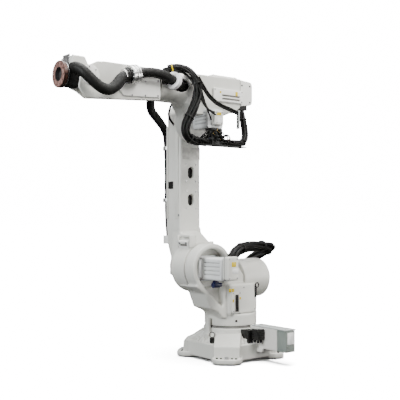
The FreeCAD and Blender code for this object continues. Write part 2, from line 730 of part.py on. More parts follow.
def rear_cover():
    """Closed cover over the rear of the housing."""
    z0, z1 = ELBOW_RISE - 104, ELBOW_RISE + HOUSING_TOP - 4
    shape = plate_y([(COVER_REAR, z0 + 22), (HOUSING_REAR, z0), (HOUSING_REAR, z1),
                     (COVER_REAR, z1 - 12)], HOUSING_FAR + 4, HOUSING_NEAR - 4, [34, 1, 1, 30])
    return at(ELBOW, shape)


def top_cover():
    """Low lid on top of the housing."""
    z = ELBOW_RISE + HOUSING_TOP
    lid = box(HOUSING_REAR + 20, -40, HOUSING_FAR + 24, HOUSING_NEAR - 24, z - 4, z + 12)
    return at(ELBOW, lid).cut(elbow_housing())


def side_panel():
    """Raised plate on the near side, with two long louvres in it."""
    z = ELBOW_RISE
    panel = plate_y([(HOUSING_REAR - 14, z - 82), (-20, z - 82), (-20, z + 26),
                     (HOUSING_REAR - 14, z + 26)], HOUSING_NEAR, HOUSING_NEAR + 16, 10)
    for low in (z - 66, z - 38):
        panel = panel.cut(box(HOUSING_REAR + 20, -110, HOUSING_NEAR + 6, HOUSING_NEAR + 20,
                              low, low + 15))
    return at(ELBOW, panel)


def elbow_motor():
    body = finned_body(ELBOW_MOTOR_HALF, ELBOW_MOTOR_HALF, -15, ELBOW_MOTOR_END)
    return at(ELBOW, body).cut(elbow_housing())


def elbow_motor_box():
    half_x, half_z = ELBOW_BOX_HALF_X, ELBOW_BOX_HALF_Z
    body = rounded_box(-half_x, half_x, ELBOW_MOTOR_END, ELBOW_BOX_END, -half_z, half_z, 14)
    return at(ELBOW, body).cut(elbow_housing())


def hose_ring():
    """White guide ring round the big hose, on its foot on the barrel."""
    before, after = upper_hose_places()[1:3]
    way = (after - before).normalize()
    lift = V(0, 0, ELBOW_RISE)
    start = lift + (before + after) * 0.5 - way * (RING_WIDTH / 2)
    ring = tube(start, way, RING_RADIUS, UPPER_HOSE_RADIUS + SEAT, RING_WIDTH)
    foot = box(372, 424, 60, 120, ELBOW_RISE + 20, ELBOW_RISE + 62)
    barrel = rod(V(TUBE_START, 0, ELBOW_RISE), X_WAY, TUBE_RADIUS, TUBE_END)
    inner = rod(start - way * 100, way, UPPER_HOSE_RADIUS + SEAT, RING_WIDTH + 200)
    return at(ELBOW, union(ring, foot.cut(inner)).cut(barrel))


def bundle_points():
    return [(404, 80, ELBOW_RISE + 132), (340, 124, ELBOW_RISE + 154),
            (256, 178, ELBOW_RISE + 122), (200, 206, ELBOW_RISE + 20), (208, 208, ELBOW_RISE - 110),
            (268, 204, 14), (326, 200, -80), (318, 198, -166), (222, 196, -204),
            (110, 196, -200)]


def elbow_bundle():
    """Thick bundle of leads that loops down in front of the elbow."""
    return hose("elbow_bundle", bundle_points(), BUNDLE_RADIUS, ELBOW)


def bundle_clip():
    """Clip that ties the bundle's top end to the barrel, beside the ring."""
    clip = box(380, 424, 30, 108, ELBOW_RISE + 60, ELBOW_RISE + 150)
    barrel = rod(V(TUBE_START, 0, ELBOW_RISE), X_WAY, TUBE_RADIUS, TUBE_END)
    return at(ELBOW, clip.cut(barrel)).cut(elbow_bundle()).cut(hose_ring())


def connector_tray():
    """Folded tray under the elbow motor that carries the plugs."""
    floor = box(-300, 200, 150, 236, TRAY_Z - 8, TRAY_Z)
    lip = box(-300, 200, 150, 156, TRAY_Z, TRAY_Z + 22)
    return at(ELBOW, floor.fuse(lip)).cut(elbow_bundle()).cut(rear_bundle())


def connector_block():
    """Block of plugs between the motor's underside and the tray."""
    top = -ELBOW_MOTOR_HALF - 6
    body = box(-40, 70, 156, 230, TRAY_Z, top)
    neck = box(-20, 40, 100, 180, top - 14, -ELBOW_MOTOR_HALF)
    piece = at(ELBOW, body.fuse(neck))
    return piece.cut(elbow_motor()).cut(elbow_motor_box()).cut(elbow_bundle())


def rear_bundle():
    """Bundle from the tray's rear end up into the housing's underside."""
    places = [(-60, 196, -196), (-200, 194, -196), (-318, 176, -188), (-368, 146, -116),
              (-372, 116, -8), (-366, 84, ELBOW_RISE - 128)]
    return hose("rear_bundle", places, REAR_BUNDLE_RADIUS, ELBOW)


def rear_gland():
    """Gland plate under the rear cover."""
    block = box(-410, -322, 30, 116, ELBOW_RISE - 132, ELBOW_RISE - 84)
    return at(ELBOW, block).cut(rear_cover()).cut(elbow_housing()).cut(rear_bundle())


def motor_leads():
    """Two thin leads from the bundle's top across the near side to the rear bracket."""
    leads = []
    for shift in (0, 15):
        places = [(182, 176, ELBOW_RISE + 76), (146, 192, ELBOW_RISE + 6),
                  (80, 196, ELBOW_RISE - 76), (-24, 192, ELBOW_RISE - 132),
                  (-150, 178, ELBOW_RISE - 156), (-262, 160, ELBOW_RISE - 180)]
        shifted = [(x - shift, y, z + shift) for x, y, z in places]
        leads.append(hose("motor_lead", shifted, LEAD_RADIUS, ELBOW))
    return Part.makeCompound(leads)


def lead_bracket():
    """Grey bracket hanging under the housing that ends the two leads."""
    bracket = box(-290, -256, 140, 174, ELBOW_RISE - 320, ELBOW_RISE - 150)
    arm = box(-290, -264, 60, 150, ELBOW_RISE - 170, ELBOW_RISE - 90)
    piece = at(ELBOW, bracket.fuse(arm))
    return piece.cut(elbow_housing()).cut(motor_leads()).cut(rear_bundle())


# ---------------------------------------------------------------- forearm (from axes 3 and 4)
def forearm_outline():
    w = FOREARM_REACH
    return [(FOREARM_START, -134), (FOREARM_START + 60, -140), (w - 40, -174), (w + 30, -174),
            (w + 98, -104), (w + 69, 55), (w + 8, 76), (w - 58, 110), (w - 130, 118),
            (FOREARM_START, 118)]


def forearm_casting():
    body = plate_y(forearm_outline(), -CHEEK, CHEEK, [14, 30, 40, 60, 50, 24, 30, 20, 30, 14])
    body = body.cut(belly_slope()).cut(far_cheek_cut())
    swing = WRIST_SWING + MOVING_GAP
    half = FLANGE_RADIUS + MOVING_GAP
    fork = box(FOREARM_REACH - swing, FOREARM_REACH + swing, -half, half, -swing, swing)
    solid = body.cut(fork)
    depth = 2 * (WRIST_HALF + PIVOT_LENGTH)
    bore = rod(V(FOREARM_REACH, -depth / 2, 0), Y_WAY, PIVOT_RADIUS + FIT, depth)
    return at(ARM_AXIS, solid.cut(bore).removeSplitter())


def belly_slope():
    """What the slanting underside takes off; it rises towards the far side."""
    wires = []
    for x, near, far in ((FOREARM_START - 5, -134, -104), (FOREARM_REACH + 110, -182, -154)):
        side, low = CHEEK + 5, -300
        quad = [V(x, -side, low), V(x, side, low), V(x, side, near), V(x, -side, far)]
        wires.append(Part.makePolygon(quad + quad[:1]))
    return Part.makeLoft(wires, True, True)


def far_cheek_cut():
    """The far cheek is shallower and shorter than the near one."""
    w = FOREARM_REACH
    outline = [(w - 77, -141), (w - 4, -96), (w + 72, -70), (w + 118, -20), (w + 118, -300),
               (w - 150, -300), (w - 150, -152)]
    return plate_y(outline, -CHEEK - 5, -FLANGE_RADIUS + 5)


def forearm_sleeve():
    """Dark shaft of axis 4 that shows in the gap behind the forearm."""
    length = SLEEVE_LENGTH + FOREARM_START - TUBE_END - MOVING_GAP
    start = V(FOREARM_START, 0, 0)
    return at(ARM_AXIS, rod(start, X_WAY * -1, SLEEVE_RADIUS, length))


def side_cover():
    """Bolted cover on the near side of the forearm."""
    outline = [(FOREARM_START + 8, -112), (FOREARM_START + 350, -128),
               (FOREARM_START + 410, -60), (FOREARM_START + 330, -8), (FOREARM_START + 8, 30)]
    return at(ARM_AXIS, plate_y(outline, CHEEK, CHEEK + 12, [12, 30, 20, 20, 12]))


def pivot_covers():
    """Round covers over the wrist pins, one on each cheek."""
    covers = []
    for y in (CHEEK, -CHEEK - COVER_THICKNESS):
        covers.append(rod(WRIST + V(0, y, 0), Y_WAY, PIVOT_RADIUS + 14, COVER_THICKNESS))
    return Part.makeCompound(covers)


def clamp_places():
    centre = V(FOREARM_REACH - 344, 166, 36)
    way = V(0.97, 0.10, -0.22)
    way.normalize()
    return centre, way


def hose_clamp():
    """Double clamp ring with its foot on the forearm's near side."""
    centre, way = clamp_places()
    start = centre - way * (CLAMP_WIDTH / 2)
    ring = tube(start, way, CLAMP_RADIUS, WRIST_HOSE_RADIUS + SEAT, CLAMP_WIDTH)
    foot = box(centre.x - 28, centre.x + 28, CHEEK, centre.y - 30, centre.z - 40, centre.z + 34)
    inner = rod(start - way * 40, way, WRIST_HOSE_RADIUS + SEAT, CLAMP_WIDTH + 80)
    room = box(centre.x - 90, centre.x + 90, CHEEK - 90, CHEEK, -90, 130)
    return at(ARM_AXIS, union(ring, foot.cut(inner)).cut(room)).cut(side_cover())


def upper_hose():
    """Hose from the port in the barrel, through the ring, to the clamp."""
    return hose("upper_hose", upper_hose_places(), UPPER_HOSE_RADIUS, ARM_AXIS)


def wrist_hose():
    """Hose from the clamp, hanging in a loop beside the forearm, to the wrist."""
    centre, way = clamp_places()
    w = FOREARM_REACH
    places = [centre + way * 2, centre + way * 96, V(w - 184, 200, -66), V(w - 106, 214, -118),
              V(w - 30, 216, -104), V(w + 40, 208, -52), V(w + 94, 190, 4), V(w + 121, 134, 42),
              V(w + 112, 70, 48)]
    tube_solid = hose("wrist_hose", places, WRIST_HOSE_RADIUS, ARM_AXIS)
    drum = rod(WRIST, X_WAY, WRIST_NECK_RADIUS + 1, WRIST_REACH)
    top = box(WRIST.x, WRIST.x + TOP_END + 1, 0, WRIST_HALF + 1, WRIST.z, WRIST.z + WRIST_TOP + 1)
    return tube_solid.cut(drum).cut(top)


# ---------------------------------------------------------------- wrist (from axis 5)
def wrist_casting():
    body = rod(V(0, -WRIST_HALF, 0), Y_WAY, WRIST_BACK_RADIUS, 2 * WRIST_HALF)
    top = plate_y([(0, 40), (TOP_END, 40), (TOP_END, WRIST_TOP), (30, WRIST_TOP),
                   (0, WRIST_BACK_RADIUS - 6)], -WRIST_HALF, WRIST_HALF, [1, 4, 8, 20, 1])
    reach = WRIST_HALF + PIVOT_LENGTH - MOVING_GAP
    pins = rod(V(0, -reach, 0), Y_WAY, PIVOT_RADIUS, 2 * reach)
    return at(WRIST, union(body, top, pins).cut(wrist_drum()))


def wrist_drum():
    """Plain cylinder that the neck fills, from axis 5."""
    end = WRIST_REACH - FLANGE_THICKNESS - MOVING_GAP
    return rod(V(NECK_START, 0, 0), X_WAY, WRIST_NECK_RADIUS, end - NECK_START)


def wrist_neck():
    """Black drum between the wrist and the flange."""
    end = WRIST_REACH - FLANGE_THICKNESS - MOVING_GAP
    bore = rod(V(end, 0, 0), X_WAY * -1, FLANGE_SHAFT_RADIUS + FIT,
               FLANGE_SHAFT_LENGTH - MOVING_GAP)
    return at(WRIST, wrist_drum().cut(bore))


def wrist_fin():
    """Thin plate standing above the neck, in front of the wrist's top."""
    fin = box(TOP_END, TOP_END + 6, -52, 52, WRIST_NECK_RADIUS - 30, WRIST_TOP + 14)
    return at(WRIST, fin.cut(wrist_drum()))


def tool_flange():
    disc = rod(V(WRIST_REACH, 0, 0), X_WAY * -1, FLANGE_RADIUS, FLANGE_THICKNESS)
    shaft = rod(V(WRIST_REACH - FLANGE_THICKNESS, 0, 0), X_WAY * -1, FLANGE_SHAFT_RADIUS,
                FLANGE_SHAFT_LENGTH - MOVING_GAP)
    solid = disc.fuse(shaft)
    bore = rod(V(WRIST_REACH, 0, 0), X_WAY * -1, FLANGE_BORE_RADIUS, FLANGE_THICKNESS + 14)
    solid = solid.cut(bore)
    for step in range(FLANGE_BOLTS):
        angle = math.radians(step * 360 / FLANGE_BOLTS)
        radius = FLANGE_BOLT_CIRCLE / 2
        hole = V(WRIST_REACH, radius * math.sin(angle), radius * math.cos(angle))
        solid = solid.cut(rod(hole, X_WAY * -1, FLANGE_BOLT_RADIUS, FLANGE_BOLT_DEPTH))
    return at(WRIST, solid)


# ---------------------------------------------------------------- hand-over of all parts
PARTS = {
    "base_casting": base_casting,
    "foot_pads": foot_pads,
    "bearing_ring": bearing_ring,
    "stop_post": stop_post,
    "side_box_cast": side_box_cast,
    "side_box": side_box,
    "side_box_lid": side_box_lid,
    "side_box_end": side_box_end,
    "base_connectors": base_connectors,
    "strap_loop": strap_loop,
    "turret_casting": turret_casting,
    "service_panel": service_panel,
    "shoulder_motor": shoulder_motor,
    "shoulder_motor_box": shoulder_motor_box,
    "motor_plug": motor_plug,
    "balancer": balancer,
    "rear_harness": rear_harness,
    "harness_gland": harness_gland,
    "cable_hook": cable_hook,
    "lower_arm_casting": lower_arm_casting,
    "arm_hubs": arm_hubs,
    "arm_end_cap": arm_end_cap,
    "arm_stop": arm_stop,
    "arm_clips": arm_clips,
    "arm_plate": arm_plate,
    "hose_gland": hose_gland,
    "side_hose": side_hose,
    "elbow_housing": elbow_housing,
    "rear_cover": rear_cover,
    "top_cover": top_cover,
    "side_panel": side_panel,
    "elbow_motor": elbow_motor,
    "elbow_motor_box": elbow_motor_box,
    "hose_ring": hose_ring,
    "elbow_bundle": elbow_bundle,
    "bundle_clip": bundle_clip,
    "connector_tray": connector_tray,
    "connector_block": connector_block,
    "rear_bundle": rear_bundle,
    "rear_gland": rear_gland,
    "motor_leads": motor_leads,
    "lead_bracket": lead_bracket,
    "forearm_casting": forearm_casting,
    "forearm_sleeve": forearm_sleeve,
    "side_cover": side_cover,
    "pivot_covers": pivot_covers,
    "hose_clamp": hose_clamp,
    "upper_hose": upper_hose,
    "wrist_hose": wrist_hose,
    "wrist_casting": wrist_casting,
    "wrist_neck": wrist_neck,
    "wrist_fin": wrist_fin,
    "tool_flange": tool_flange,
}

os.makedirs("parts", exist_ok=True)
for name, make in PARTS.items():
    make().exportStep("parts/%s.step" % name)
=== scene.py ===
import json
import math

import bmesh
import bpy
import numpy as np
from mathutils import Matrix, Vector

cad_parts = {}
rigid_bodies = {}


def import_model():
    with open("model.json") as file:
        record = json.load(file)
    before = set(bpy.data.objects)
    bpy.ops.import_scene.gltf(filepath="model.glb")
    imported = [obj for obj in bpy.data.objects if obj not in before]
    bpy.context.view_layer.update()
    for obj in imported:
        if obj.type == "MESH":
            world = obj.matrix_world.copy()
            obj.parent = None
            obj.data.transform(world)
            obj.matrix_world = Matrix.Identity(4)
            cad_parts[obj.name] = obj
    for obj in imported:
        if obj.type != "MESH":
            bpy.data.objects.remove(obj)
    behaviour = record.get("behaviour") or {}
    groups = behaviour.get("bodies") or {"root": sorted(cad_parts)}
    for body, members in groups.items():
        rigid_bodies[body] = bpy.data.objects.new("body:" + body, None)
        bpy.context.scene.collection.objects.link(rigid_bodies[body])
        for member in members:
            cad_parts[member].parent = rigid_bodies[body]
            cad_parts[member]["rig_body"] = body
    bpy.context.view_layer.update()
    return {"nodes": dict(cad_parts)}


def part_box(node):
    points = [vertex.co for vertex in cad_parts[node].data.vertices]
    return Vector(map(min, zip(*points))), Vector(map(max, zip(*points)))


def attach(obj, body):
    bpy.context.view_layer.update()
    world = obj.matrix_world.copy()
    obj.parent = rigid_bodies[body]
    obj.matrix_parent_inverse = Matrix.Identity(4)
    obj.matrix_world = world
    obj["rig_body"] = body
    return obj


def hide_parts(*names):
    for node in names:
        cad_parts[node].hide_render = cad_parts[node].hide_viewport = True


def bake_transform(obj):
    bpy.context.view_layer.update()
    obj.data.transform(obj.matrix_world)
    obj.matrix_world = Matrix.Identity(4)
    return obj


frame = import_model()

NODES = frame["nodes"]
SCENE = bpy.context.scene

# Places shared with the CAD source, in metres.
SHOULDER_X, SHOULDER_Z = 0.32, 0.78  # axis 2
ELBOW_Z = 2.02                       # axis 3, straight above axis 2
ARM_Z = 2.26                         # axis 4
WRIST_X = 1.4625                     # axis 5
FLANGE_X = 1.6625                    # face of the tool flange
SHOULDER = Vector((SHOULDER_X, 0.0, SHOULDER_Z))
ELBOW = Vector((SHOULDER_X, 0.0, ELBOW_Z))
ARM_AXIS = Vector((SHOULDER_X, 0.0, ARM_Z))
FLANGE_FACE = Vector((FLANGE_X, 0.0, ARM_Z))
X, Y, Z = Vector((1, 0, 0)), Vector((0, 1, 0)), Vector((0, 0, 1))

# Bare plates on a face: how far they sink in and stand out, and their rounding.
PLATE_SUNK, PLATE_PROUD, PLATE_EDGE = 0.001, 0.0012, 0.0005


# ---------------------------------------------------------------- camera
def make_camera():
    """The photograph's view: a long lens at waist height, tilted up slightly."""
    place = Vector((4.247, 4.983, 1.214))
    heading_x, heading_y = -0.6174, -0.7866
    pitch = math.radians(1.21)
    way = Vector((heading_x * math.cos(pitch), heading_y * math.cos(pitch), math.sin(pitch)))
    data = bpy.data.cameras.new("Camera")
    data.lens = 67.6
    data.sensor_width = 36.0
    data.clip_end = 150.0
    camera = bpy.data.objects.new("Camera", data)
    SCENE.collection.objects.link(camera)
    camera.location = place
    camera.rotation_euler = way.to_track_quat("-Z", "Y").to_euler()
    SCENE.camera = camera


# ---------------------------------------------------------------- materials
def ramp(tree, source, low, high, first, last):
    """A value that goes from first to last while source goes from low to high."""
    node = tree.nodes.new("ShaderNodeMapRange")
    node.clamp = True
    for index, value in ((1, low), (2, high), (3, first), (4, last)):
        node.inputs[index].default_value = value
    tree.links.new(source, node.inputs[0])
    return node.outputs[0]


def blend_colour(tree, factor, first, second):
    node = tree.nodes.new("ShaderNodeMix")
    node.data_type = "RGBA"
    for socket, value in ((6, first), (7, second)):
        if isinstance(value, tuple):
            node.inputs[socket].default_value = (*value, 1.0)
        else:
            tree.links.new(value, node.inputs[socket])
    tree.links.new(factor, node.inputs[0])
    return node.outputs[2]


def noise(tree, scale, detail=3.0, stretch=None):
    where = tree.nodes.new("ShaderNodeTexCoord").outputs["Object"]
    if stretch:
        mapping = tree.nodes.new("ShaderNodeMapping")
        mapping.inputs["Scale"].default_value = stretch
        tree.links.new(where, mapping.inputs[0])
        where = mapping.outputs[0]
    node = tree.nodes.new("ShaderNodeTexNoise")
    node.inputs["Scale"].default_value = scale
    node.inputs["Detail"].default_value = detail
    tree.links.new(where, node.inputs["Vector"])
    return node.outputs["Fac"]


def new_material(name):
    mat = bpy.data.materials.new(name)
    mat.use_nodes = True
    tree = mat.node_tree
    return mat, tree, tree.nodes["Principled BSDF"]


def bump(tree, shader, height, strength, distance):
    node = tree.nodes.new("ShaderNodeBump")
    node.inputs["Strength"].default_value = strength
    node.inputs["Distance"].default_value = distance
    tree.links.new(height, node.inputs["Height"])
    tree.links.new(node.outputs[0], shader.inputs["Normal"])


def scaled(colour, share):
    return tuple(min(1.0, c * share) for c in colour)


def paint(name, colour, rough=0.42, grain=140.0, depth=0.0004, dirt_and_shade=0.16):
    """Paint on metal: slow tone changes, dust and painted shade in the corners, edges lighter from
    wear of the thin paint and painted highlight, orange peel.
    """
    mat, tree, shader = new_material(name)
    slow = ramp(tree, noise(tree, 1.7, 4.0), 0.3, 0.7, 0.0, 1.0)
    base = blend_colour(tree, slow, scaled(colour, 0.955), scaled(colour, 1.02))
    streaks = ramp(tree, noise(tree, 5.0, 6.0, (3.0, 3.0, 0.6)), 0.56, 0.78, 0.0, dirt_and_shade * 0.5)
    base = blend_colour(tree, streaks, base, scaled(colour, 0.7))
    point = tree.nodes.new("ShaderNodeNewGeometry").outputs["Pointiness"]
    # Darker in hollow corners and creases: partly dust, partly painted shade.
    corners = ramp(tree, point, 0.492, 0.455, 0.0, dirt_and_shade * 2.2)
    base = blend_colour(tree, corners, base, (0.22, 0.21, 0.19))
    # Lighter on sharp edges: partly wear of the paint, partly painted highlight.
    edges = ramp(tree, point, 0.52, 0.58, 0.0, 0.35)
    base = blend_colour(tree, edges, base, scaled(colour, 1.12))
    tree.links.new(base, shader.inputs["Base Color"])
    rough_map = ramp(tree, noise(tree, 9.0, 4.0), 0.3, 0.7, rough - 0.06, rough + 0.1)
    tree.links.new(rough_map, shader.inputs["Roughness"])
    bump(tree, shader, noise(tree, grain, 3.0), 0.35, depth)
    return mat


def plastic(name, colour, rough=0.45, depth=0.0003):
    mat, tree, shader = new_material(name)
    mottle = ramp(tree, noise(tree, 14.0, 5.0), 0.3, 0.7, 0.0, 1.0)
    base = blend_colour(tree, mottle, scaled(colour, 0.75), scaled(colour, 1.35))
    tree.links.new(base, shader.inputs["Base Color"])
    shader.inputs["Specular IOR Level"].default_value = 0.35
    rough_map = ramp(tree, noise(tree, 22.0, 3.0), 0.3, 0.7, rough - 0.08, rough + 0.12)
    tree.links.new(rough_map, shader.inputs["Roughness"])
    bump(tree, shader, noise(tree, 420.0, 2.0), 0.3, depth)
    return mat


def metal(name, colour, rough, brush=(1.0, 1.0, 14.0)):
    mat, tree, shader = new_material(name)
    lines = noise(tree, 60.0, 4.0, brush)
    tone = ramp(tree, lines, 0.3, 0.7, 0.0, 1.0)
    base = blend_colour(tree, tone, scaled(colour, 0.85), scaled(colour, 1.1))
    tree.links.new(base, shader.inputs["Base Color"])
    tree.links.new(ramp(tree, lines, 0.3, 0.7, rough - 0.08, rough + 0.12),
                   shader.inputs["Roughness"])
    shader.inputs["Metallic"].default_value = 1.0
    bump(tree, shader, lines, 0.3, 0.0002)
    return mat


def flange_material():
    """Machined face of a pinkish brown, with rust towards the rim and painted shade in the centre
    bore.
    """
    mat, tree, shader = new_material("flange_steel")
    where = tree.nodes.new("ShaderNodeTexCoord").outputs["Object"]
    centre = tree.nodes.new("ShaderNodeVectorMath")
    centre.operation = "SUBTRACT"
    centre.inputs[1].default_value = tuple(FLANGE_FACE)
    tree.links.new(where, centre.inputs[0])
    flat = tree.nodes.new("ShaderNodeVectorMath")
    flat.operation = "MULTIPLY"
    flat.inputs[1].default_value = (0.0, 1.0, 1.0)
    tree.links.new(centre.outputs[0], flat.inputs[0])
    length = tree.nodes.new("ShaderNodeVectorMath")
    length.operation = "LENGTH"
    tree.links.new(flat.outputs[0], length.inputs[0])
    radius = length.outputs["Value"]
    rim = ramp(tree, radius, 0.088, 0.097, 0.0, 1.0)
    mottle = ramp(tree, noise(tree, 45.0, 5.0), 0.35, 0.7, 0.0, 1.0)
    face = blend_colour(tree, mottle, (0.17, 0.088, 0.072), (0.34, 0.20, 0.175))
    rust = blend_colour(tree, mottle, (0.018, 0.007, 0.005), (0.09, 0.028, 0.016))
    base = blend_colour(tree, rim, face, rust)
    # Near black inside the centre bore: painted shade in the hole.
    hole = ramp(tree, radius, 0.0545, 0.0515, 0.0, 1.0)
    base = blend_colour(tree, hole, base, (0.02, 0.018, 0.018))
    tree.links.new(base, shader.inputs["Base Color"])
    shader.inputs["Metallic"].default_value = 0.35
    tree.links.new(ramp(tree, mottle, 0.0, 1.0, 0.38, 0.6), shader.inputs["Roughness"])
    bump(tree, shader, noise(tree, 160.0, 3.0), 0.4, 0.0004)
    return mat


def sheath(name, colour, rough, scale, depth):
    """Rubber or braided sheath: dull, with fine grain and pale dust."""
    mat, tree, shader = new_material(name)
    shader.inputs["Specular IOR Level"].default_value = 0.2
    speck = ramp(tree, noise(tree, 55.0, 6.0), 0.5, 0.75, 0.0, 0.6)
    base = blend_colour(tree, speck, colour, scaled(colour, 2.4))
    tree.links.new(base, shader.inputs["Base Color"])
    tree.links.new(ramp(tree, noise(tree, 30.0, 3.0), 0.3, 0.7, rough - 0.06, rough + 0.14),
                   shader.inputs["Roughness"])
    bump(tree, shader, noise(tree, scale, 2.0), 0.5, depth)
    return mat


def make_materials():
    return {
        "cast": paint("cast_paint", (0.635, 0.632, 0.590), 0.40, 90.0, 0.0008, 0.30),
        "smooth": paint("cover_paint", (0.78, 0.775, 0.745), 0.34, 220.0, 0.0002, 0.10),
        "motor": paint("motor_paint", (0.66, 0.675, 0.68), 0.38, 160.0, 0.0003, 0.2),
        "sheet": paint("sheet_paint", (0.215, 0.245, 0.225), 0.36, 260.0, 0.0002, 0.1),
        # Lighter copy of the sheet paint: painted light for the lit top of the side box lid.
        "lid": paint("sheet_paint_lit", (0.42, 0.44, 0.43), 0.34, 260.0, 0.0002, 0.1),
        "cream": paint("cream_paint", (0.72, 0.705, 0.66), 0.42, 120.0, 0.0005, 0.12),
        "white": plastic("white_plate", (0.80, 0.80, 0.79), 0.3, 0.0001),
        "label": plastic("plain_label", (0.50, 0.49, 0.46), 0.4, 0.0001),
        "yellow": plastic("yellow_plate", (0.50, 0.365, 0.0), 0.4, 0.0001),
        "orange": plastic("orange_band", (0.72, 0.28, 0.03), 0.4),
        "blue": plastic("blue_plastic", (0.004, 0.008, 0.045), 0.4),
        "black": plastic("black_plastic", (0.0048, 0.0046, 0.0042), 0.5),
        "seam": plastic("seam_shadow", (0.16, 0.155, 0.145), 0.6),
        "dark": plastic("dark_steel", (0.010, 0.0095, 0.009), 0.45, 0.0004),
        "rubber": sheath("black_sheath", (0.0042, 0.0041, 0.0038), 0.42, 300.0, 0.0003),
        "hose": sheath("hose_cover", (0.0046, 0.0046, 0.0042), 0.5, 520.0, 0.0009),
        "pad": sheath("pad_rubber", (0.03, 0.03, 0.03), 0.6, 200.0, 0.0004),
        "steel": metal("screw_steel", (0.42, 0.42, 0.42), 0.34),
        "clamp": metal("clamp_alloy", (0.72, 0.72, 0.71), 0.3, (14.0, 1.0, 1.0)),
        "brass": metal("brass_ring", (0.60, 0.42, 0.16), 0.3),
        "flange": flange_material(),
    }


# ---------------------------------------------------------------- mesh helpers
def add_mesh(name, verts, faces, material, smooth_shading=True):
    mesh = bpy.data.meshes.new(name)
    mesh.from_pydata([tuple(v) for v in verts], [], faces)
    mesh.update()
    obj = bpy.data.objects.new(name, mesh)
    SCENE.collection.objects.link(obj)
    mesh.materials.append(material)
    mesh.polygons.foreach_set("use_smooth", [smooth_shading] * len(mesh.polygons))
    return obj


def applied(obj):
    """The object with its modifiers worked into its mesh."""
    bpy.context.view_layer.update()
    graph = bpy.context.evaluated_depsgraph_get()
    mesh = bpy.data.meshes.new_from_object(obj.evaluated_get(graph))
    old = obj.data
    obj.modifiers.clear()
    obj.data = mesh
    if old.users == 0:
        bpy.data.meshes.remove(old)
    return obj


def copy_of(node, name, material):
    obj = bpy.data.objects.new(name, NODES[node].data.copy())
    SCENE.collection.objects.link(obj)
    obj.data.materials.clear()
    obj.data.materials.append(material)
    bm = bmesh.new()
    bm.from_mesh(obj.data)
    bmesh.ops.remove_doubles(bm, verts=bm.verts, dist=0.00002)
    for face in bm.faces:
        face.smooth = True
        face.material_index = 0
    bm.to_mesh(obj.data)
    bm.free()
    return obj


def body_of(node):
    return NODES[node]["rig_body"]


def finish_piece(obj, node):
    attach(obj, body_of(node))
    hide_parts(node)


def cast_piece(node, colour, voxel=0.006, rounds=6):
    """A casting: the CAD solid with every edge eased, as sand-cast iron has it."""
    obj = copy_of(node, node + "_cast", MAT[colour])
    remesh = obj.modifiers.new("Voxels", "REMESH")
    remesh.mode = "VOXEL"
    remesh.voxel_size = voxel
    remesh.use_smooth_shade = True
    ease = obj.modifiers.new("Ease", "SMOOTH")
    ease.factor = 0.5
    ease.iterations = rounds
    applied(obj)
    obj.data.materials.clear()
    obj.data.materials.append(MAT[colour])
    finish_piece(obj, node)


def edged_piece(node, colour, width=0.003, angle=32):
    """A machined, pressed or moulded piece: the CAD solid with narrow rounded edges."""
    obj = copy_of(node, node + "_edged", MAT[colour])
    bm = bmesh.new()
    bm.from_mesh(obj.data)
    bmesh.ops.dissolve_limit(bm, angle_limit=math.radians(1.5), verts=bm.verts, edges=bm.edges)
    bm.to_mesh(obj.data)
    bm.free()
    bevel = obj.modifiers.new("Edges", "BEVEL")
    bevel.width = width
    bevel.segments = 3
    bevel.limit_method = "ANGLE"
    bevel.angle_limit = math.radians(angle)
    bevel.use_clamp_overlap = True
    bevel.harden_normals = True
    applied(obj)
    finish_piece(obj, node)


def ring_frame(line):
    """Two cross directions at each point of a line, carried along without twist."""
    tangents = np.gradient(line, axis=0)
    tangents /= np.linalg.norm(tangents, axis=1)[:, None]
    first = np.cross(tangents[0], [0.31, 0.17, 0.93])
    first /= np.linalg.norm(first)
    sides = [first]
    for tangent in tangents[1:]:
        side = sides[-1] - tangent * np.dot(sides[-1], tangent)
        sides.append(side / np.linalg.norm(side))
    sides = np.array(sides)
    return sides, np.cross(tangents, sides)


def tube_rings(line, radii, sides):
    across, up = ring_frame(line)
    angles = np.linspace(0, 2 * math.pi, sides, endpoint=False)
    verts = []
    for centre, a, b, radius in zip(line, across, up, radii):
        for angle in angles:
            verts.append(centre + radius * (math.cos(angle) * a + math.sin(angle) * b))
    faces = []
    for i in range(len(line) - 1):
        for j in range(sides):
            k = (j + 1) % sides
            faces.append((i * sides + j, i * sides + k, (i + 1) * sides + k, (i + 1) * sides + j))
    faces.append(tuple(reversed(range(sides))))
    last = (len(line) - 1) * sides
    faces.append(tuple(range(last, last + sides)))
    return verts, faces


def wire(line, radius, sides):
    return tube_rings(line, [radius] * len(line), sides)


def joined(parts):
    verts, faces = [], []
    for part_verts, part_faces in parts:
        start = len(verts)
        verts.extend(part_verts)
        faces.extend(tuple(i + start for i in face) for face in part_faces)
    return verts, faces


def spline_line(points, step):
    """Points step apart along the smooth spline that has these control points."""
    curve = bpy.data.curves.new("route", "CURVE")
    curve.dimensions = "3D"
    curve.resolution_u = 24
    spline = curve.splines.new("NURBS")
    spline.points.add(len(points) - 1)
    for target, point in zip(spline.points, points):
        target.co = (*point, 1.0)
    spline.order_u = 3
    spline.use_endpoint_u = True
    obj = bpy.data.objects.new("route", curve)
    mesh = bpy.data.meshes.new_from_object(obj)
    line = np.array([v.co for v in mesh.vertices], float)
    bpy.data.objects.remove(obj)
    bpy.data.curves.remove(curve)
    bpy.data.meshes.remove(mesh)
    lengths = np.concatenate([[0], np.cumsum(np.linalg.norm(np.diff(line, axis=0), axis=1))])
    count = max(8, int(lengths[-1] / step))
    places = np.linspace(0, lengths[-1], count)
    return np.stack([np.interp(places, lengths, line[:, k]) for k in range(3)], axis=1)


def eased(line, rounds=3):
    """The line with its corners relaxed a little, ends kept."""
    for _ in range(rounds):
        line = line.copy()
        line[1:-1] = (line[:-2] + 2 * line[1:-1] + line[2:]) / 4
    return line


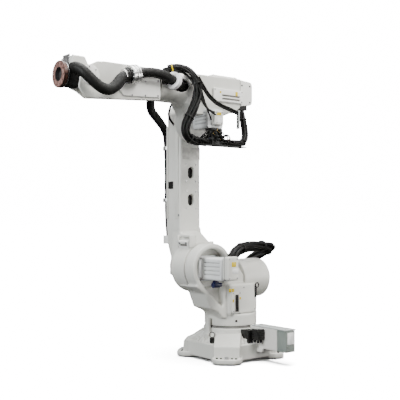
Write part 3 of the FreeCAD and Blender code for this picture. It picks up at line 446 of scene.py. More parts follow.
def lathe(profile, sides=24):
    """Turned shape about +Z from (radius, height) pairs; a radius may be hexagonal."""
    verts, faces = [], []
    sixth = math.pi / 6
    for radius, height, hexed in profile:
        for j in range(sides):
            angle = 2 * math.pi * j / sides
            reach = radius
            if hexed:
                reach = radius * math.cos(sixth) / math.cos(angle % (2 * sixth) - sixth)
            verts.append(Vector((reach * math.cos(angle), reach * math.sin(angle), height)))
    for i in range(len(profile) - 1):
        for j in range(sides):
            k = (j + 1) % sides
            faces.append((i * sides + j, i * sides + k, (i + 1) * sides + k, (i + 1) * sides + j))
    faces.append(tuple(reversed(range(sides))))
    last = (len(profile) - 1) * sides
    faces.append(tuple(range(last, last + sides)))
    return verts, faces


def hoop(inner, outer, width, bevel, sides):
    """Flat ring round +Z with its outer edges bevelled."""
    half = width / 2
    return lathe([(inner, -half, False), (outer, -half + bevel, False),
                  (outer, half - bevel, False), (inner, half, False)], sides)


def ring_angles(count, steps=0.0, turn=0.0):
    """Even angles round a circle, moved on by a share of a step and by a turn."""
    return [2 * math.pi * (k + steps) / count + turn for k in range(count)]


def placed(part, place, way, turn=0.0):
    verts, faces = part
    spin = Vector(way).to_track_quat("Z", "Y").to_matrix() @ Matrix.Rotation(turn, 3, "Z")
    return [spin @ v + Vector(place) for v in verts], faces


def screw(radius, height):
    """Cap screw with a hexagon socket, on a thin washer."""
    r, h = radius, height
    return lathe([(r * 1.35, 0.0, False), (r * 1.35, h * 0.12, False), (r, h * 0.14, False),
                  (r, h * 0.88, False), (r * 0.9, h, False), (r * 0.56, h, True),
                  (r * 0.54, h * 0.45, True)])


def hex_bolt(radius, height):
    r, h = radius, height
    return lathe([(r * 1.3, 0.0, False), (r * 1.3, h * 0.18, False), (r, h * 0.2, True),
                  (r, h * 0.92, True), (r * 0.86, h, False)])


def fasteners(name, places, way, radius, height, body, colour="steel", part=screw):
    """Many small screws as one piece."""
    solids = []
    for number, place in enumerate(places):
        solids.append(placed(part(radius, height), Vector(place), way, number * 0.7))
    obj = add_mesh(name, *joined(solids), MAT[colour], False)
    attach(obj, body)


def slab(x0, x1, y0, y1, z0, z1, round_by=0.002, segments=3):
    """Block with rounded edges, as vertices and faces."""
    bm = bmesh.new()
    bmesh.ops.create_cube(bm, size=1.0)
    for v in bm.verts:
        v.co = Vector((x0 + (v.co.x + 0.5) * (x1 - x0), y0 + (v.co.y + 0.5) * (y1 - y0),
                       z0 + (v.co.z + 0.5) * (z1 - z0)))
    bmesh.ops.bevel(bm, geom=bm.edges[:], offset=round_by, segments=segments, affect="EDGES",
                    profile=0.5)
    bm.verts.index_update()
    verts = [v.co.copy() for v in bm.verts]
    faces = [tuple(v.index for v in f.verts) for f in bm.faces]
    bm.free()
    return verts, faces


def piece(name, parts, colour, body):
    """Several solids as one piece, smooth apart from its sharp corners."""
    obj = add_mesh(name, *joined(parts), MAT[colour])
    obj.data.set_sharp_from_angle(angle=math.radians(34))
    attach(obj, body)
    return obj


def plate(name, x0, x1, face, z0, z1, colour, body):
    """Bare plate on a wall that looks along +Y."""
    piece(name, [slab(x0, x1, face - PLATE_SUNK, face + PLATE_PROUD, z0, z1, PLATE_EDGE)],
          colour, body)


def corner_screws(name, node, inset_x, inset_z, radius, body):
    """Four screws near the corners of the face that a node turns to +Y."""
    low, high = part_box(node)
    corners = [(x, high.y, z) for x in (low.x + inset_x, high.x - inset_x)
               for z in (low.z + inset_z, high.z - inset_z)]
    fasteners(name, corners, Y, radius, 0.004, body)


# ---------------------------------------------------------------- hoses and bundles
def metres(points, origin):
    return [Vector(origin) + Vector(p) / 1000.0 for p in points]


def clamp_place():
    way = Vector((0.97, 0.10, -0.22)).normalized()
    return Vector((1142.5 - 344, 166, 36)), way


def side_hose_points():
    return metres([(46, -386, 262), (60, -392, 400), (60, -392, 1098), (112, -378, 1196),
                   (236, -322, 1276), (376, -232, 1332), (448, -104, 1404)], SHOULDER)


def side_lead_points():
    return metres([(92, -236, 1200), (152, -246, 1250), (196, -216, 1324), (214, -122, 1390)],
                  SHOULDER)


def upper_hose_points():
    centre, way = clamp_place()
    return metres([(232, 72, 4), (330, 116, 18), (470, 174, 48), (560, 188, 66),
                   (660, 182, 68), centre - way * 74, centre], ARM_AXIS)


def wrist_hose_points():
    centre, way = clamp_place()
    return metres([centre + way * 2, centre + way * 96, (958.5, 200, -66), (1036.5, 214, -118),
                   (1112.5, 216, -104), (1182.5, 208, -52), (1236.5, 190, 4),
                   (1263.5, 134, 42), (1254.5, 70, 48)], ARM_AXIS)


def bundle_points():
    return metres([(404, 80, 372), (340, 124, 394), (256, 178, 362), (200, 206, 260),
                   (208, 208, 130), (268, 204, 14), (326, 200, -80), (318, 198, -166),
                   (222, 196, -204), (110, 196, -200)], ELBOW)


def rear_bundle_points():
    return metres([(-60, 196, -196), (-200, 194, -196), (-318, 176, -188), (-368, 146, -116),
                   (-372, 116, -8), (-366, 84, 112)], ELBOW)


def motor_lead_points(shift):
    route = [(182, 176, 316), (146, 192, 246), (80, 196, 164), (-24, 192, 108),
             (-150, 178, 84), (-262, 160, 60)]
    return metres([(x - shift, y, z + shift) for x, y, z in route], ELBOW)


def harness_points():
    return metres([(196, 222, 800), (160, 220, 878), (85, 200, 932), (-54, 172, 955),
                   (-207, 130, 950), (-360, 72, 944), (-500, -8, 930), (-562, -120, 902),
                   (-486, -226, 840), (-372, -262, 744), (-300, -262, 620),
                   (-258, -220, 510), (-228, -140, 452), (-168, -60, 440)], Vector((0, 0, 0)))


def ribbed_hose(name, node, points, radius, colour, pitch, rib):
    """Hose across a joint, with fine ribs round it, each ring slightly uneven."""
    step = pitch / 4
    line = spline_line(points, step)
    rng = np.random.default_rng(len(name))
    wander = np.interp(np.arange(len(line)), np.arange(0, len(line), 24),
                       rng.normal(0, 0.0007, len(range(0, len(line), 24))))
    phase = np.arange(len(line)) % 4
    lift = np.where(phase == 0, 0.0, np.where(phase == 2, 1.0, 0.7))
    radii = radius - rib + rib * lift + wander
    obj = add_mesh(name, *tube_rings(line, radii, 28), MAT[colour])
    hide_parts(node)
    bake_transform(obj)


def strand_offsets(count, radius, thickness, seed):
    """Seats of the leads across a bundle: one ring, and the rest in its middle."""
    rng = np.random.default_rng(seed)
    outer = max(5, int(count * 0.7))
    seats = []
    for i in range(outer):
        seats.append((radius - thickness, 2 * math.pi * i / outer + rng.uniform(-0.15, 0.15)))
    for i in range(count - outer):
        seats.append(((radius - thickness) * 0.36, 2 * math.pi * i / max(1, count - outer)))
    return seats


def bundle_mesh(line, count, radius, thickness, seed, turns, loose):
    """Leads that run side by side, cross a little and part here and there."""
    across, up = ring_frame(line)
    rng = np.random.default_rng(seed + 7)
    along = np.linspace(0, 1, len(line))
    knots = np.linspace(0, 1, 7)
    parts = []
    for reach, angle in strand_offsets(count, radius, thickness, seed):
        swing = np.interp(along, knots, rng.normal(0, loose, len(knots)))
        pull = np.interp(along, knots, rng.uniform(0.82, 1.0, len(knots)))
        turn = angle + 2 * math.pi * turns * along + swing
        size = thickness * rng.uniform(0.8, 1.0)
        path = line + (across * np.cos(turn)[:, None] + up * np.sin(turn)[:, None]) * (
            reach * pull)[:, None]
        path = eased(path, 12)
        parts.append(wire(path, size, 12))
    return joined(parts)


def lead_bundle(name, node, points, count, radius, thickness, body, seed, turns, loose):
    line = spline_line(points, 0.008)
    obj = add_mesh(name, *bundle_mesh(line, count, radius, thickness, seed, turns, loose),
                   MAT["rubber"])
    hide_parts(node)
    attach(obj, body)
    return line


def band(name, line, share, radius, width, colour, body, thickness=0.003):
    """Tie or clamp band round a hose or bundle."""
    index = int(share * (len(line) - 1))
    index = min(max(index, 2), len(line) - 3)
    centre = line[index]
    way = line[index + 1] - line[index - 1]
    way = way / np.linalg.norm(way)
    profile = [(radius, -width / 2, False), (radius + thickness, -width * 0.42, False),
               (radius + thickness, width * 0.42, False), (radius, width / 2, False)]
    head = slab(radius + thickness * 0.2, radius + thickness * 2.6, -0.006, 0.006,
                -width * 0.7, width * 0.7, 0.0012)
    part = joined([lathe(profile, 28), head])
    piece(name, [placed(part, centre, way)], colour, body)


# ---------------------------------------------------------------- the base
def make_base():
    cast_piece("base_casting", "cast", 0.006, 5)
    edged_piece("foot_pads", "pad", 0.002)
    # The bearing ring takes the seam_shadow grey: painted shade for the gap under the turret.
    edged_piece("bearing_ring", "seam", 0.001)
    cast_piece("stop_post", "cast", 0.003, 3)
    cast_piece("side_box_cast", "cream", 0.0045, 3)
    edged_piece("side_box", "sheet", 0.003)
    # The lid takes the lighter copy of the sheet paint: painted light on its top.
    edged_piece("side_box_lid", "lid", 0.0025)
    edged_piece("side_box_end", "sheet", 0.001)
    edged_piece("base_connectors", "black", 0.003)
    edged_piece("strap_loop", "black", 0.001)
    make_base_details()


def make_base_details():
    low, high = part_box("side_box_end")
    y = high.y
    piece("side_box_plate", [slab(low.x + 0.012, high.x - 0.012, y - 0.001, y + 0.0015,
                                  low.z + 0.062, high.z - 0.014, 0.0007)], "white", "base")
    corners = [(x, y, z) for x in (low.x + 0.008, high.x - 0.008)
               for z in (low.z + 0.012, low.z + 0.05, high.z - 0.008)]
    fasteners("side_box_screws", corners, Y, 0.003, 0.003, "base")
    lid_low, lid_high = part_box("side_box_lid")
    tops = [(x, yy, lid_high.z) for x in (lid_low.x + 0.014, lid_high.x - 0.014)
            for yy in (lid_low.y + 0.03, (lid_low.y + lid_high.y) / 2, lid_high.y - 0.02)]
    fasteners("lid_screws", tops, Z, 0.0045, 0.003, "base")
    foot_top = 0.05
    anchors, caps = [], []
    for angle in (45, 135, 225, 315):
        a = math.radians(angle)
        radial, side = Vector((math.cos(a), math.sin(a), 0)), Vector((-math.sin(a), math.cos(a), 0))
        anchors.append(radial * 0.42 + Z * foot_top)
        for shift in (-0.078, -0.045, 0.045, 0.078):
            caps.append(radial * 0.412 + side * shift + Z * foot_top)
    fasteners("anchor_bolts", anchors, Z, 0.017, 0.018, "base", "steel", hex_bolt)
    fasteners("foot_screws", caps, Z, 0.009, 0.008, "base", "dark")
    make_connector_details()


def make_connector_details():
    """Ribs and cable glands of the two plugs on the base."""
    low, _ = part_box("base_connectors")
    ribs = []
    for k in range(5):
        z = low.z + 0.045 + k * 0.014
        for x0, x1 in ((0.006, 0.076), (-0.024, 0.0)):
            ribs.append(slab(x0, x1, 0.3125, 0.3165, z, z + 0.007, 0.001, 2))
        ribs.append(slab(-0.012, 0.052, 0.408, 0.414, z + 0.02, z + 0.027, 0.001, 2))
        ribs.append(slab(0.049, 0.055, 0.335, 0.405, z + 0.02, z + 0.027, 0.001, 2))
    ribs.append(slab(-0.026, 0.050, 0.332, 0.410, 0.192, 0.272, 0.005, 3))
    piece("connector_ribs", ribs, "black", "base")
    glands = []
    nut = lathe([(0.0115, 0.0, True), (0.0125, 0.002, True), (0.0125, 0.012, True),
                 (0.0100, 0.014, False), (0.0100, 0.024, False), (0.008, 0.028, False)])
    for x in (0.02, 0.042, 0.062, -0.012):
        glands.append(placed(nut, (x, 0.296, 0.187), -Z))
    for x in (0.0, 0.034):
        for y in (0.352, 0.390):
            glands.append(placed(nut, (x, y, 0.194), -Z))
    piece("connector_glands", glands, "dark", "base")


# ---------------------------------------------------------------- the turret
def make_turret():
    cast_piece("turret_casting", "cast", 0.006, 6)
    edged_piece("service_panel", "cast", 0.005)
    edged_piece("shoulder_motor", "motor", 0.002)
    edged_piece("shoulder_motor_box", "cast", 0.010)
    edged_piece("motor_plug", "blue", 0.002)
    cast_piece("balancer", "cast", 0.006, 4)
    edged_piece("harness_gland", "black", 0.006)
    edged_piece("cable_hook", "black", 0.001)
    make_turret_details()
    line = lead_bundle("rear_harness_leads", "rear_harness", harness_points(), 11, 0.050,
                       0.0155, "turret", 5, 0.7, 0.5)
    for number, share in enumerate((0.13, 0.33, 0.55)):
        band(f"harness_tie_{number}", line, share, 0.048, 0.009, "black", "turret")


def make_turret_details():
    corner_screws("motor_box_screws", "shoulder_motor_box", 0.016, 0.018, 0.006, "turret")
    low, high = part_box("shoulder_motor_box")
    piece("motor_seam", [slab(low.x - 0.001, high.x + 0.001, low.y + 0.022, low.y + 0.0245,
                              low.z - 0.001, high.z + 0.001, 0.0008, 2)], "dark", "turret")
    x, z = 0.297, 0.808
    plate("motor_plate_yellow", x - 0.004, x + 0.042, high.y, z - 0.002, z + 0.036, "yellow",
          "turret")
    plate("motor_plate_white", x - 0.028, x + 0.036, high.y, z - 0.058, z - 0.018, "white",
          "turret")
    piece("turret_plate_yellow",
          [slab(x0, x0 + 0.027, 0.1995, 0.2025, 0.578, 0.606, 0.0005) for x0 in (0.128, 0.160)],
          "yellow", "turret")
    piece("slot_plates", [slab(0.055, 0.070, 0.199, 0.2012, 0.510, 0.530, 0.0005),
                          slab(0.132, 0.146, 0.199, 0.2012, 0.490, 0.515, 0.0005)],
          "yellow", "turret")
    make_slot()
    rim = [(0.100 + 0.036 * sx, 0.200, 0.480 + 0.085 * sz) for sx in (-1, 1) for sz in (-1, 1)]
    rim += [(-0.105, 0.2, 0.42), (-0.105, 0.2, 0.60), (0.135, 0.2, 0.415), (0.02, 0.2, 0.61)]
    fasteners("panel_screws", rim, Y, 0.0055, 0.004, "turret")
    make_turret_screws()


def make_slot():
    """Slot with a brush in it, in the service panel: a black slab of painted shade in its mouth,
    pale frame, bristles.
    """
    middle, wall = 0.100, 0.200
    # Black slab behind the bristles: painted shade for the dark opening of the slot.
    mouth = slab(middle - 0.020, middle + 0.020, wall - 0.001, wall + 0.0022, 0.407, 0.553,
                 0.0010)
    piece("slot_mouth_shade", [mouth], "black", "turret")
    bars = ((0.074, 0.081, 0.400, 0.560), (0.119, 0.126, 0.400, 0.560),
            (0.074, 0.126, 0.552, 0.560), (0.074, 0.126, 0.400, 0.408))
    edge = [slab(x0, x1, wall - 0.001, wall + 0.004, z0, z1, 0.0015) for x0, x1, z0, z1 in bars]
    piece("slot_frame", edge, "label", "turret")
    rng = np.random.default_rng(11)
    rows, bristles = 90, []
    for k in range(rows):
        z0 = 0.414 + 0.132 * k / rows
        for side in (-1, 1):
            tilt = rng.uniform(-0.0008, 0.0008)
            x_out, x_in = middle + side * 0.0185, middle + side * rng.uniform(0.0, 0.002)
            bristles.append(slab(min(x_out, x_in), max(x_out, x_in), 0.2022 + tilt, 0.2045 + tilt,
                                 z0, z0 + 0.0011, 0.0003, 1))
    piece("slot_brush", bristles, "black", "turret")


def make_turret_screws():
    flange = [SHOULDER + Vector((sx * 0.084, 0.096, sz * 0.088))
              for sx in (-1, 1) for sz in (-1, 1)]
    fasteners("motor_flange_screws", flange, Y, 0.010, 0.010, "turret")
    cover = [Vector((-0.3665, 0.088 * math.cos(a), 0.67 + 0.088 * math.sin(a)))
             for a in ring_angles(8, 0.5)]
    fasteners("balancer_screws", cover, -X, 0.007, 0.006, "turret")
    fasteners("lug_screw", [(0.259, 0.0705, 0.972)], Y, 0.008, 0.006, "turret")
    hole = lathe([(0.010, 0.0, False), (0.010, 0.0015, False), (0.0085, 0.003, False),
                  (0.006, 0.0015, False)])
    ports = [placed(hole, (0.226 * math.cos(a), 0.226 * math.sin(a), 0.332),
                    (math.cos(a), math.sin(a), 0)) for a in (math.radians(62), math.radians(242))]
    piece("ring_ports", ports, "dark", "turret")


# ---------------------------------------------------------------- the lower arm
def make_lower_arm():
    cast_piece("lower_arm_casting", "cast", 0.006, 5)
    edged_piece("arm_hubs", "dark", 0.001)
    edged_piece("arm_end_cap", "smooth", 0.002)
    edged_piece("arm_stop", "smooth", 0.004)
    edged_piece("arm_clips", "clamp", 0.002)
    edged_piece("arm_plate", "black", 0.001)
    edged_piece("hose_gland", "smooth", 0.004)
    make_lower_arm_details()
    ribbed_hose("side_hose_cover", "side_hose", side_hose_points(), 0.036, "rubber",
                0.008, 0.0008)
    lead = spline_line(side_lead_points(), 0.004)
    obj = add_mesh("side_lead", *wire(lead, 0.009, 14), MAT["rubber"])
    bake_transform(obj)
    line = spline_line(side_hose_points(), 0.004)
    for number, share in enumerate((0.22, 0.5)):
        band(f"side_hose_band_{number}", line, share, 0.0365, 0.010, "black", "lower_arm",
             0.002)


def make_lower_arm_details():
    face = -0.143                # of the side that looks along +Y
    windows = (0.57, 0.804)      # middles of the two windows, above axis 2
    screws = [(SHOULDER_X + sx, face, SHOULDER_Z + height + sz) for height in windows
              for sx in (-0.052, 0.052) for sz in (-0.072, 0.072)]
    fasteners("arm_screws", screws, Y, 0.0065, 0.005, "lower_arm")
    # Near-black slabs deep in the two windows: painted shade for their dark inside.
    shade_floors = [slab(0.2888, 0.3512, face - 0.036, face - 0.032, z - 0.0495, z + 0.0495, 0.001, 1)
              for z in (SHOULDER_Z + height for height in windows)]
    piece("window_shade_floors", shade_floors, "rubber", "lower_arm")
    plate("arm_side_plate", 0.226, 0.416, face, 1.698, 1.800, "label", "lower_arm")
    holes = [SHOULDER + Vector((0.035, -0.1428, 0.19)), SHOULDER + Vector((-0.062, -0.1428, 0.29))]
    fasteners("arm_foot_screws", holes, Y, 0.008, 0.005, "lower_arm", "dark")
    foot = lathe([(0.196, 0.0, False), (0.2105, 0.0, False), (0.2108, 0.004, False),
                  (0.2108, 0.150, False), (0.2105, 0.154, False), (0.196, 0.154, False)], 128)
    piece("arm_foot_ring", [placed(foot, (SHOULDER_X, -0.125, SHOULDER_Z), Y)], "cast",
          "lower_arm")
    make_stop_details()
    edge = [(0.4405, y, z) for z in (1.96, 1.22) for y in (-0.16, -0.32)]
    fasteners("arm_front_screws", edge, X, 0.007, 0.005, "lower_arm")
    ribs = [slab(0.4375, 0.4465, y, y + width, 1.19, 1.985, 0.0024, 2)
            for y, width in ((-0.334, 0.010), (-0.320, 0.012), (-0.205, 0.040))]
    piece("arm_front_ribs", ribs, "cast", "lower_arm")


def make_stop_details():
    """Bolts, rubber stop and side plates of the stop bracket; the rubber stop is coloured grey as
    painted shade in the bracket's recess.
    """
    low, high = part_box("arm_stop")
    bolts = [(high.x - 0.004, y, low.z + 0.058) for y in (low.y + 0.022, high.y - 0.022)]
    fasteners("stop_bolts", bolts, X, 0.009, 0.008, "lower_arm", "steel", hex_bolt)
    # Grey slab in the recess of the stop bracket: a rubber stop coloured as painted shade.
    bumper_shade = slab(low.x + 0.030, high.x - 0.012, low.y + 0.024, high.y - 0.030,
                  low.z + 0.030, low.z + 0.046, 0.004)
    piece("stop_bumper_shade", [bumper_shade], "seam", "lower_arm")
    cheeks = [slab(0.405, 0.470, y, y + 0.012, 0.950, 1.052, 0.004) for y in (-0.140, 0.020)]
    cheeks.append(slab(0.396, 0.452, -0.138, 0.030, 1.036, 1.056, 0.006))
    piece("stop_cheeks", cheeks, "cast", "lower_arm")


# ---------------------------------------------------------------- the upper arm
def make_upper_arm():
    cast_piece("elbow_housing", "cast", 0.0055, 5)
    cast_piece("rear_cover", "smooth", 0.005, 10)
    edged_piece("top_cover", "smooth", 0.004)
    edged_piece("side_panel", "smooth", 0.003)
    edged_piece("elbow_motor", "motor", 0.002)
    edged_piece("elbow_motor_box", "cast", 0.008)
    edged_piece("hose_ring", "white", 0.004)
    edged_piece("bundle_clip", "black", 0.003)
    edged_piece("connector_tray", "black", 0.0015)
    edged_piece("connector_block", "black", 0.003)
    edged_piece("rear_gland", "black", 0.003)
    strips = [slab(0.040, 0.052, 0.142, 0.172, 1.955, 2.112, 0.002),
              slab(0.034, 0.056, 0.062, 0.170, 2.098, 2.108, 0.002),
              slab(0.034, 0.056, 0.062, 0.074, 2.100, 2.165, 0.002)]
    bracket = piece("lead_bracket_slim", strips, "lid", "upper_arm")
    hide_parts("lead_bracket")
    make_upper_arm_leads()
    make_upper_arm_details()
    make_connectors()


def make_upper_arm_leads():
    line = lead_bundle("elbow_bundle_leads", "elbow_bundle", bundle_points(), 12, 0.042, 0.0108,
                       "upper_arm", 3, 0.45, 0.65)
    band("bundle_tie_yellow", line, 0.035, 0.040, 0.010, "yellow", "upper_arm")
    for number, share in enumerate((0.3, 0.62, 0.83)):
        band(f"bundle_tie_{number}", line, share, 0.0385, 0.008, "black", "upper_arm")
    make_fan()
    rear = lead_bundle("rear_bundle_leads", "rear_bundle", rear_bundle_points(), 7, 0.032,
                       0.0118, "upper_arm", 9, 0.3, 0.3)
    for number, share in enumerate((0.45, 0.85)):
        band(f"rear_tie_{number}", rear, share, 0.0305, 0.008, "black", "upper_arm")
    for number, shift in enumerate((0, 15)):
        lead = spline_line(motor_lead_points(shift), 0.006)
        obj = add_mesh(f"motor_lead_{number}", *wire(lead, 0.009, 14), MAT["rubber"])
        if number == 0:
            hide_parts("motor_leads")
        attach(obj, "upper_arm")
    ribbed_hose("upper_hose_cover", "upper_hose", upper_hose_points(), 0.039, "hose",
                0.0085, 0.0014)


def make_fan():
    """Leads that leave the bundle below its top and part on their way to the motor."""
    ends = [((0.372, 0.232, 2.062), 0.0066), ((0.352, 0.236, 2.040), 0.0060),
            ((0.395, 0.225, 2.000), 0.0070), ((0.335, 0.225, 2.075), 0.0056)]
    fan = []
    for k, (end, radius) in enumerate(ends):
        top = Vector((0.528 - 0.006 * k, 0.205 + 0.006 * k, 2.325 - 0.012 * k))
        drop = Vector((0.515 - 0.012 * k, 0.225 + 0.003 * k, 2.20 - 0.018 * k))
        turn = Vector((0.470 - 0.018 * k, 0.236, 2.085 - 0.012 * k))
        line = spline_line([top, drop, turn, Vector(end)], 0.006)
        fan.append(wire(line, radius, 12))
    piece("fan_leads", fan, "rubber", "upper_arm")


def make_upper_arm_details():
    corner_screws("side_panel_screws", "side_panel", 0.014, 0.012, 0.0055, "upper_arm")
    _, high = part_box("side_panel")
    for name, x0, x1, z0, z1, colour in (
            ("panel_plate_yellow", 0.035, 0.062, 2.238, 2.272, "yellow"),
            ("panel_plate_white", -0.012, 0.03, 2.238, 2.274, "white"),
            ("panel_plate_small", 0.218, 0.236, 2.246, 2.262, "yellow")):
        plate(name, x0, x1, high.y, z0, z1, colour, "upper_arm")
    corner_screws("elbow_box_screws", "elbow_motor_box", 0.016, 0.016, 0.006, "upper_arm")
    low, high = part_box("elbow_motor_box")
    plate("elbow_plate_yellow", low.x + 0.026, high.x - 0.014, high.y, high.z - 0.040,
          high.z - 0.016, "yellow", "upper_arm")
    plate("elbow_plate_white", low.x + 0.014, high.x - 0.026, high.y, low.z + 0.020,
          low.z + 0.060, "white", "upper_arm")
    low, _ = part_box("rear_cover")
    rear = [(low.x - 0.0005, y, z) for y in (-0.08, 0.085) for z in (2.20, 2.35)]
    fasteners("rear_screws", rear, -X, 0.006, 0.004, "upper_arm")
    side = [(x, 0.1205, z) for x in (-0.03, -0.12) for z in (2.20, 2.34)]
    fasteners("rear_side_screws", side, Y, 0.006, 0.004, "upper_arm", "dark")
    piece("cover_seam", [slab(-0.0115, -0.0085, -0.119, 0.1225, 2.158, 2.389, 0.0008, 1)],
          "dark", "upper_arm")
    gap = lathe([(0.090, 0.0, False), (0.1165, 0.0, False), (0.1175, 0.001, False),
                 (0.1175, 0.0085, False), (0.1165, 0.0095, False), (0.090, 0.0095, False)], 96)
    switch = slab(0.768, 0.812, 0.104, 0.150, 2.262, 2.306, 0.006)
    piece("barrel_switch", [switch], "black", "upper_arm")
    shade = [slab(0.012, 0.208, 0.1300, 0.1325, z, z + 0.012, 0.001, 1)
             for z in (2.1955, 2.2235)]
    piece("louvre_shadows", shade, "seam", "upper_arm")
    piece("axis_4_seal", [placed(gap, (0.8172, 0, ARM_Z), X)], "black", "upper_arm")
    roof = [(x, y, 2.404) for x in (0.03, 0.15, 0.262) for y in (-0.082, 0.087)]
    fasteners("roof_screws", roof, Z, 0.0055, 0.004, "upper_arm")
    port = [(0.8175, 0.107 * math.cos(a), ARM_Z + 0.107 * math.sin(a)) for a in ring_angles(6)]
    fasteners("barrel_screws", port, X, 0.0045, 0.003, "upper_arm")


def make_connectors():
    """Round plugs on the tray and the block, many with a plain coloured ring, and short wires among
    them.
    """
    plug = lathe([(0.0085, -0.022, False), (0.0085, -0.004, False), (0.0125, -0.003, False),
                  (0.0125, 0.010, False), (0.0110, 0.012, True), (0.0110, 0.026, True),
                  (0.0070, 0.029, False), (0.0070, 0.038, False)])
    ring = lathe([(0.0129, 0.0, False), (0.0136, 0.001, False), (0.0136, 0.007, False),
                  (0.0129, 0.008, False)])
    bodies, brass, orange, blue = [], [], [], []
    for k in range(9):
        x = 0.16 + 0.034 * k
        way = Vector((0.25 * math.sin(k * 1.7), 0.9, -0.15)).normalized()
        place = Vector((x, 0.206, 1.837 + 0.006 * (k % 2)))
        bodies.append(placed(plug, place, way))
        target = (brass, orange, brass, blue)[k % 4]
        target.append(placed(ring, place + way * 0.001, way))
    for k in range(8):
        x = 0.292 + 0.0125 * k
        place = Vector((x if k % 2 else x + 0.004, 0.229, 1.840 + 0.025 * (k % 4)))
        bodies.append(placed(plug, place, Y))
        if k % 3 == 0:
            brass.append(placed(ring, place + Y * 0.001, Y))
    piece("tray_plugs", bodies, "black", "upper_arm")
    piece("plug_rings_brass", brass, "brass", "upper_arm")
    piece("plug_rings_orange", orange, "orange", "upper_arm")
    piece("plug_rings_blue", blue, "blue", "upper_arm")
    teeth = []
    for k in range(5):
        z = 1.812 + 0.023 * k
        teeth.append(slab(0.284, 0.386, 0.2295, 0.2325, z, z + 0.012, 0.001, 2))
    piece("block_ribs", teeth, "black", "upper_arm")
    make_tangle()


def make_tangle():
    """Short wires between the plugs: up from the tray, over in a loop, and back down."""
    rng = np.random.default_rng(21)
    base_z = 1.806
    loops = []
    for k in range(26):
        start_x = rng.uniform(0.20, 0.50)
        reach = rng.uniform(0.05, 0.17) * (1 if k % 2 else -1)
        end_x = min(max(start_x + reach, 0.06), 0.56)
        height = rng.uniform(0.03, 0.115) * (1.0 - 0.55 * abs(start_x - 0.34) / 0.16)
        height = max(height, 0.022)
        y0, y1 = rng.uniform(0.172, 0.226, 2)
        points = [(start_x, y0, base_z), (start_x + 0.12 * reach, y0 + 0.004, base_z + height),
                  (start_x + 0.62 * reach, 0.232, base_z + height * 1.15),
                  (end_x - 0.02 * reach, y1 + 0.004, base_z + height * 0.5),
                  (end_x, y1, base_z)]
        line = spline_line([Vector(p) for p in points], 0.006)
        loops.append(wire(line, rng.uniform(0.0038, 0.0055), 10))
    piece("plug_wires", loops, "rubber", "upper_arm")
    along = []
    for k in range(7):
        y, z = 0.166 + 0.011 * k, 1.812 + 0.004 * (k % 3)
        points = [(0.036, y, z), (0.09, y + 0.004, z + 0.01 * (k % 2)), (0.14, y, z),
                  (0.20 + 0.01 * k, y - 0.004, z + 0.012), (0.30, y, z)]
        line = spline_line([Vector(p) for p in points], 0.006)
        along.append(wire(line, 0.0052, 10))
    piece("tray_wires", along, "rubber", "upper_arm")


# ---------------------------------------------------------------- the forearm and wrist
def make_forearm():
    cast_piece("forearm_casting", "cast", 0.005, 8)
    edged_piece("forearm_sleeve", "dark", 0.001)
    edged_piece("side_cover", "smooth", 0.004)
    edged_piece("pivot_covers", "smooth", 0.003)
    edged_piece("hose_clamp", "clamp", 0.003)
    ribbed_hose("wrist_hose_cover", "wrist_hose", wrist_hose_points(), 0.042, "hose",
                0.0085, 0.0016)
    make_forearm_details()
    make_wrist()


def make_forearm_details():
    y = 0.132
    outline = [(0.86, 2.16), (0.98, 2.151), (1.10, 2.144), (1.20, 2.19), (1.13, 2.238),
               (0.98, 2.262), (0.86, 2.278)]
    fasteners("side_cover_screws", [(x, y, z) for x, z in outline], Y, 0.006, 0.004, "forearm")
    top = [(x, yy, 2.3785) for x in (0.87, 1.00, 1.13) for yy in (-0.09, 0.09)]
    fasteners("forearm_top_screws", top, Z, 0.006, 0.004, "forearm")
    caps = [(WRIST_X + 0.058 * math.cos(a), 0.127, ARM_Z + 0.058 * math.sin(a))
            for a in ring_angles(6, turn=0.3)]
    fasteners("pivot_screws", caps, Y, 0.005, 0.004, "forearm")
    make_clamp_details()


def make_clamp_details():
    """Bands, nuts and end collars of the hose clamp, along the hose."""
    centre, way = clamp_place()
    middle = ARM_AXIS + centre / 1000.0
    rings = [placed(hoop(0.064, radius, width, 0.002, 48), middle + way * shift, way)
             for shift, radius, width in ((-0.030, 0.0715, 0.014), (0.0, 0.0735, 0.012),
                                          (0.030, 0.0715, 0.014))]
    piece("clamp_bands", rings, "clamp", "forearm")
    side = way.cross(Z).normalized()
    up = side.cross(way)
    nuts = []
    for a in ring_angles(6, turn=0.4):
        place = middle + (side * math.cos(a) + up * math.sin(a)) * 0.058
        nuts.append(placed(hex_bolt(0.008, 0.010), place + way * 0.037, way))
        nuts.append(placed(hex_bolt(0.008, 0.010), place - way * 0.037, -way))
    piece("clamp_nuts", nuts, "steel", "forearm")
    collars = [placed(hoop(0.043, radius, 0.014, 0.002, 40), middle + way * shift, way)
               for shift, radius in ((0.046, 0.053), (0.062, 0.050), (0.078, 0.048))]
    piece("clamp_collars", collars, "black", "forearm")
    strap = hoop(0.044, 0.0475, 0.008, 0.001, 40)
    piece("clamp_strap", [placed(strap, middle + way * 0.092, way)], "clamp", "forearm")


def make_wrist():
    cast_piece("wrist_casting", "cast", 0.0045, 4)
    edged_piece("wrist_neck", "dark", 0.002)
    edged_piece("wrist_fin", "clamp", 0.0015)
    flange = NODES["tool_flange"]
    flange.data.materials.clear()
    flange.data.materials.append(MAT["flange"])
    heads = [FLANGE_FACE + Vector((0.0, 0.066 * math.cos(a), 0.066 * math.sin(a))) - X * 0.0035
             for a in ring_angles(11, 0.5)]
    fasteners("flange_screws", heads, X, 0.0042, 0.0034, "flange", "dark")
    seal = lathe([(0.0945, 0.0, False), (0.0965, 0.001, False), (0.0965, 0.006, False),
                  (0.0945, 0.007, False)], 72)
    piece("neck_ring", [placed(seal, (1.6235, 0, ARM_Z), X)], "steel", "wrist")
    top = [(x, y, 2.3985) for x in (1.535, 1.582) for y in (-0.07, 0.07)]
    fasteners("wrist_top_screws", top, Z, 0.006, 0.004, "wrist")


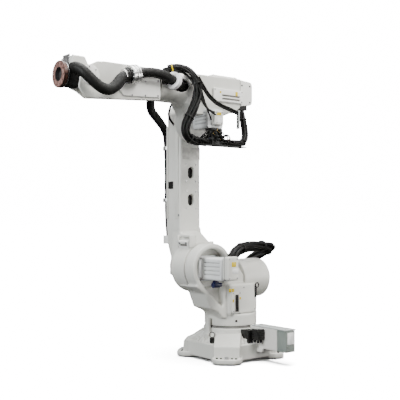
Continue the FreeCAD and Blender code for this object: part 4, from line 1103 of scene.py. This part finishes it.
# ---------------------------------------------------------------- floor and light
def make_stage():
    """Plain floor. It takes its own light, so that it is white and the part keeps its tone."""
    size = 90.0
    verts = [(-size, -size, 0), (size, -size, 0), (size, size, 0), (-size, size, 0)]
    mat, tree, shader = new_material("floor")
    cloud = ramp(tree, noise(tree, 0.6, 2.0), 0.3, 0.7, 0.0, 1.0)
    base = blend_colour(tree, cloud, (0.91, 0.91, 0.91), (0.92, 0.92, 0.92))
    tree.links.new(base, shader.inputs["Base Color"])
    shader.inputs["Roughness"].default_value = 0.9
    shader.inputs["Specular IOR Level"].default_value = 0.0
    floor = add_mesh("floor", verts, [(0, 1, 2, 3)], mat)
    floor.visible_diffuse = False
    floor.visible_glossy = False
    receivers = bpy.data.collections.new("floor_only")
    receivers.objects.link(floor)
    above = area_light("FloorLight", (0.9, 0.6, 7.0), (0.3, 0.2, 0.0), (5.0, 5.0), 1500)
    above.light_linking.receiver_collection = receivers
    sun = bpy.data.lights.new("FloorSun", "SUN")
    sun.energy = 60.0
    sun.angle = math.radians(50)
    sun_object = bpy.data.objects.new("FloorSun", sun)
    sun_object.rotation_euler = (math.radians(-8), math.radians(10), 0)
    SCENE.collection.objects.link(sun_object)
    sun_object.light_linking.receiver_collection = receivers


def area_light(name, place, target, size, power, colour=(1, 1, 1)):
    data = bpy.data.lights.new(name, "AREA")
    data.shape = "RECTANGLE"
    data.size, data.size_y = size
    data.energy = power
    data.color = colour
    obj = bpy.data.objects.new(name, data)
    obj.location = place
    obj.rotation_euler = (Vector(target) - Vector(place)).to_track_quat("-Z", "Y").to_euler()
    SCENE.collection.objects.link(obj)
    return obj


def make_lights():
    world = bpy.data.worlds.new("Studio")
    SCENE.world = world
    world.use_nodes = True
    tree = world.node_tree
    background = tree.nodes["Background"]
    background.inputs[0].default_value = (1.0, 1.0, 1.0, 1.0)
    seen = tree.nodes.new("ShaderNodeLightPath").outputs["Is Camera Ray"]
    where = tree.nodes.new("ShaderNodeTexCoord").outputs["Generated"]
    split = tree.nodes.new("ShaderNodeSeparateXYZ")
    tree.links.new(where, split.inputs[0])
    sky = ramp(tree, split.outputs[2], -0.40, 0.45, 0.055, 0.29)
    seen_sky = tree.nodes.new("ShaderNodeMath")
    seen_sky.operation = "MULTIPLY_ADD"
    tree.links.new(seen, seen_sky.inputs[0])
    seen_sky.inputs[1].default_value = 16.0
    tree.links.new(sky, seen_sky.inputs[2])
    tree.links.new(seen_sky.outputs[0], background.inputs[1])
    area_light("Key", (-0.4, 4.7, 6.6), (0.4, 0, 1.3), (3.0, 3.0), 760, (1.0, 0.99, 0.955))
    area_light("Side", (-4.2, 4.6, 1.5), (0.0, 0, 0.9), (3.0, 2.2), 185, (1.0, 0.99, 0.96))
    area_light("Top", (0.5, -0.5, 6.5), (0.4, 0, 0.5), (5.0, 5.0), 720)
    area_light("Front", (6.5, 1.0, 3.0), (0.6, 0, 1.4), (2.5, 3.5), 520, (0.95, 0.985, 1.0))


MAT = make_materials()
make_camera()
make_stage()
make_lights()
make_base()
make_turret()
make_lower_arm()
make_upper_arm()
make_forearm()
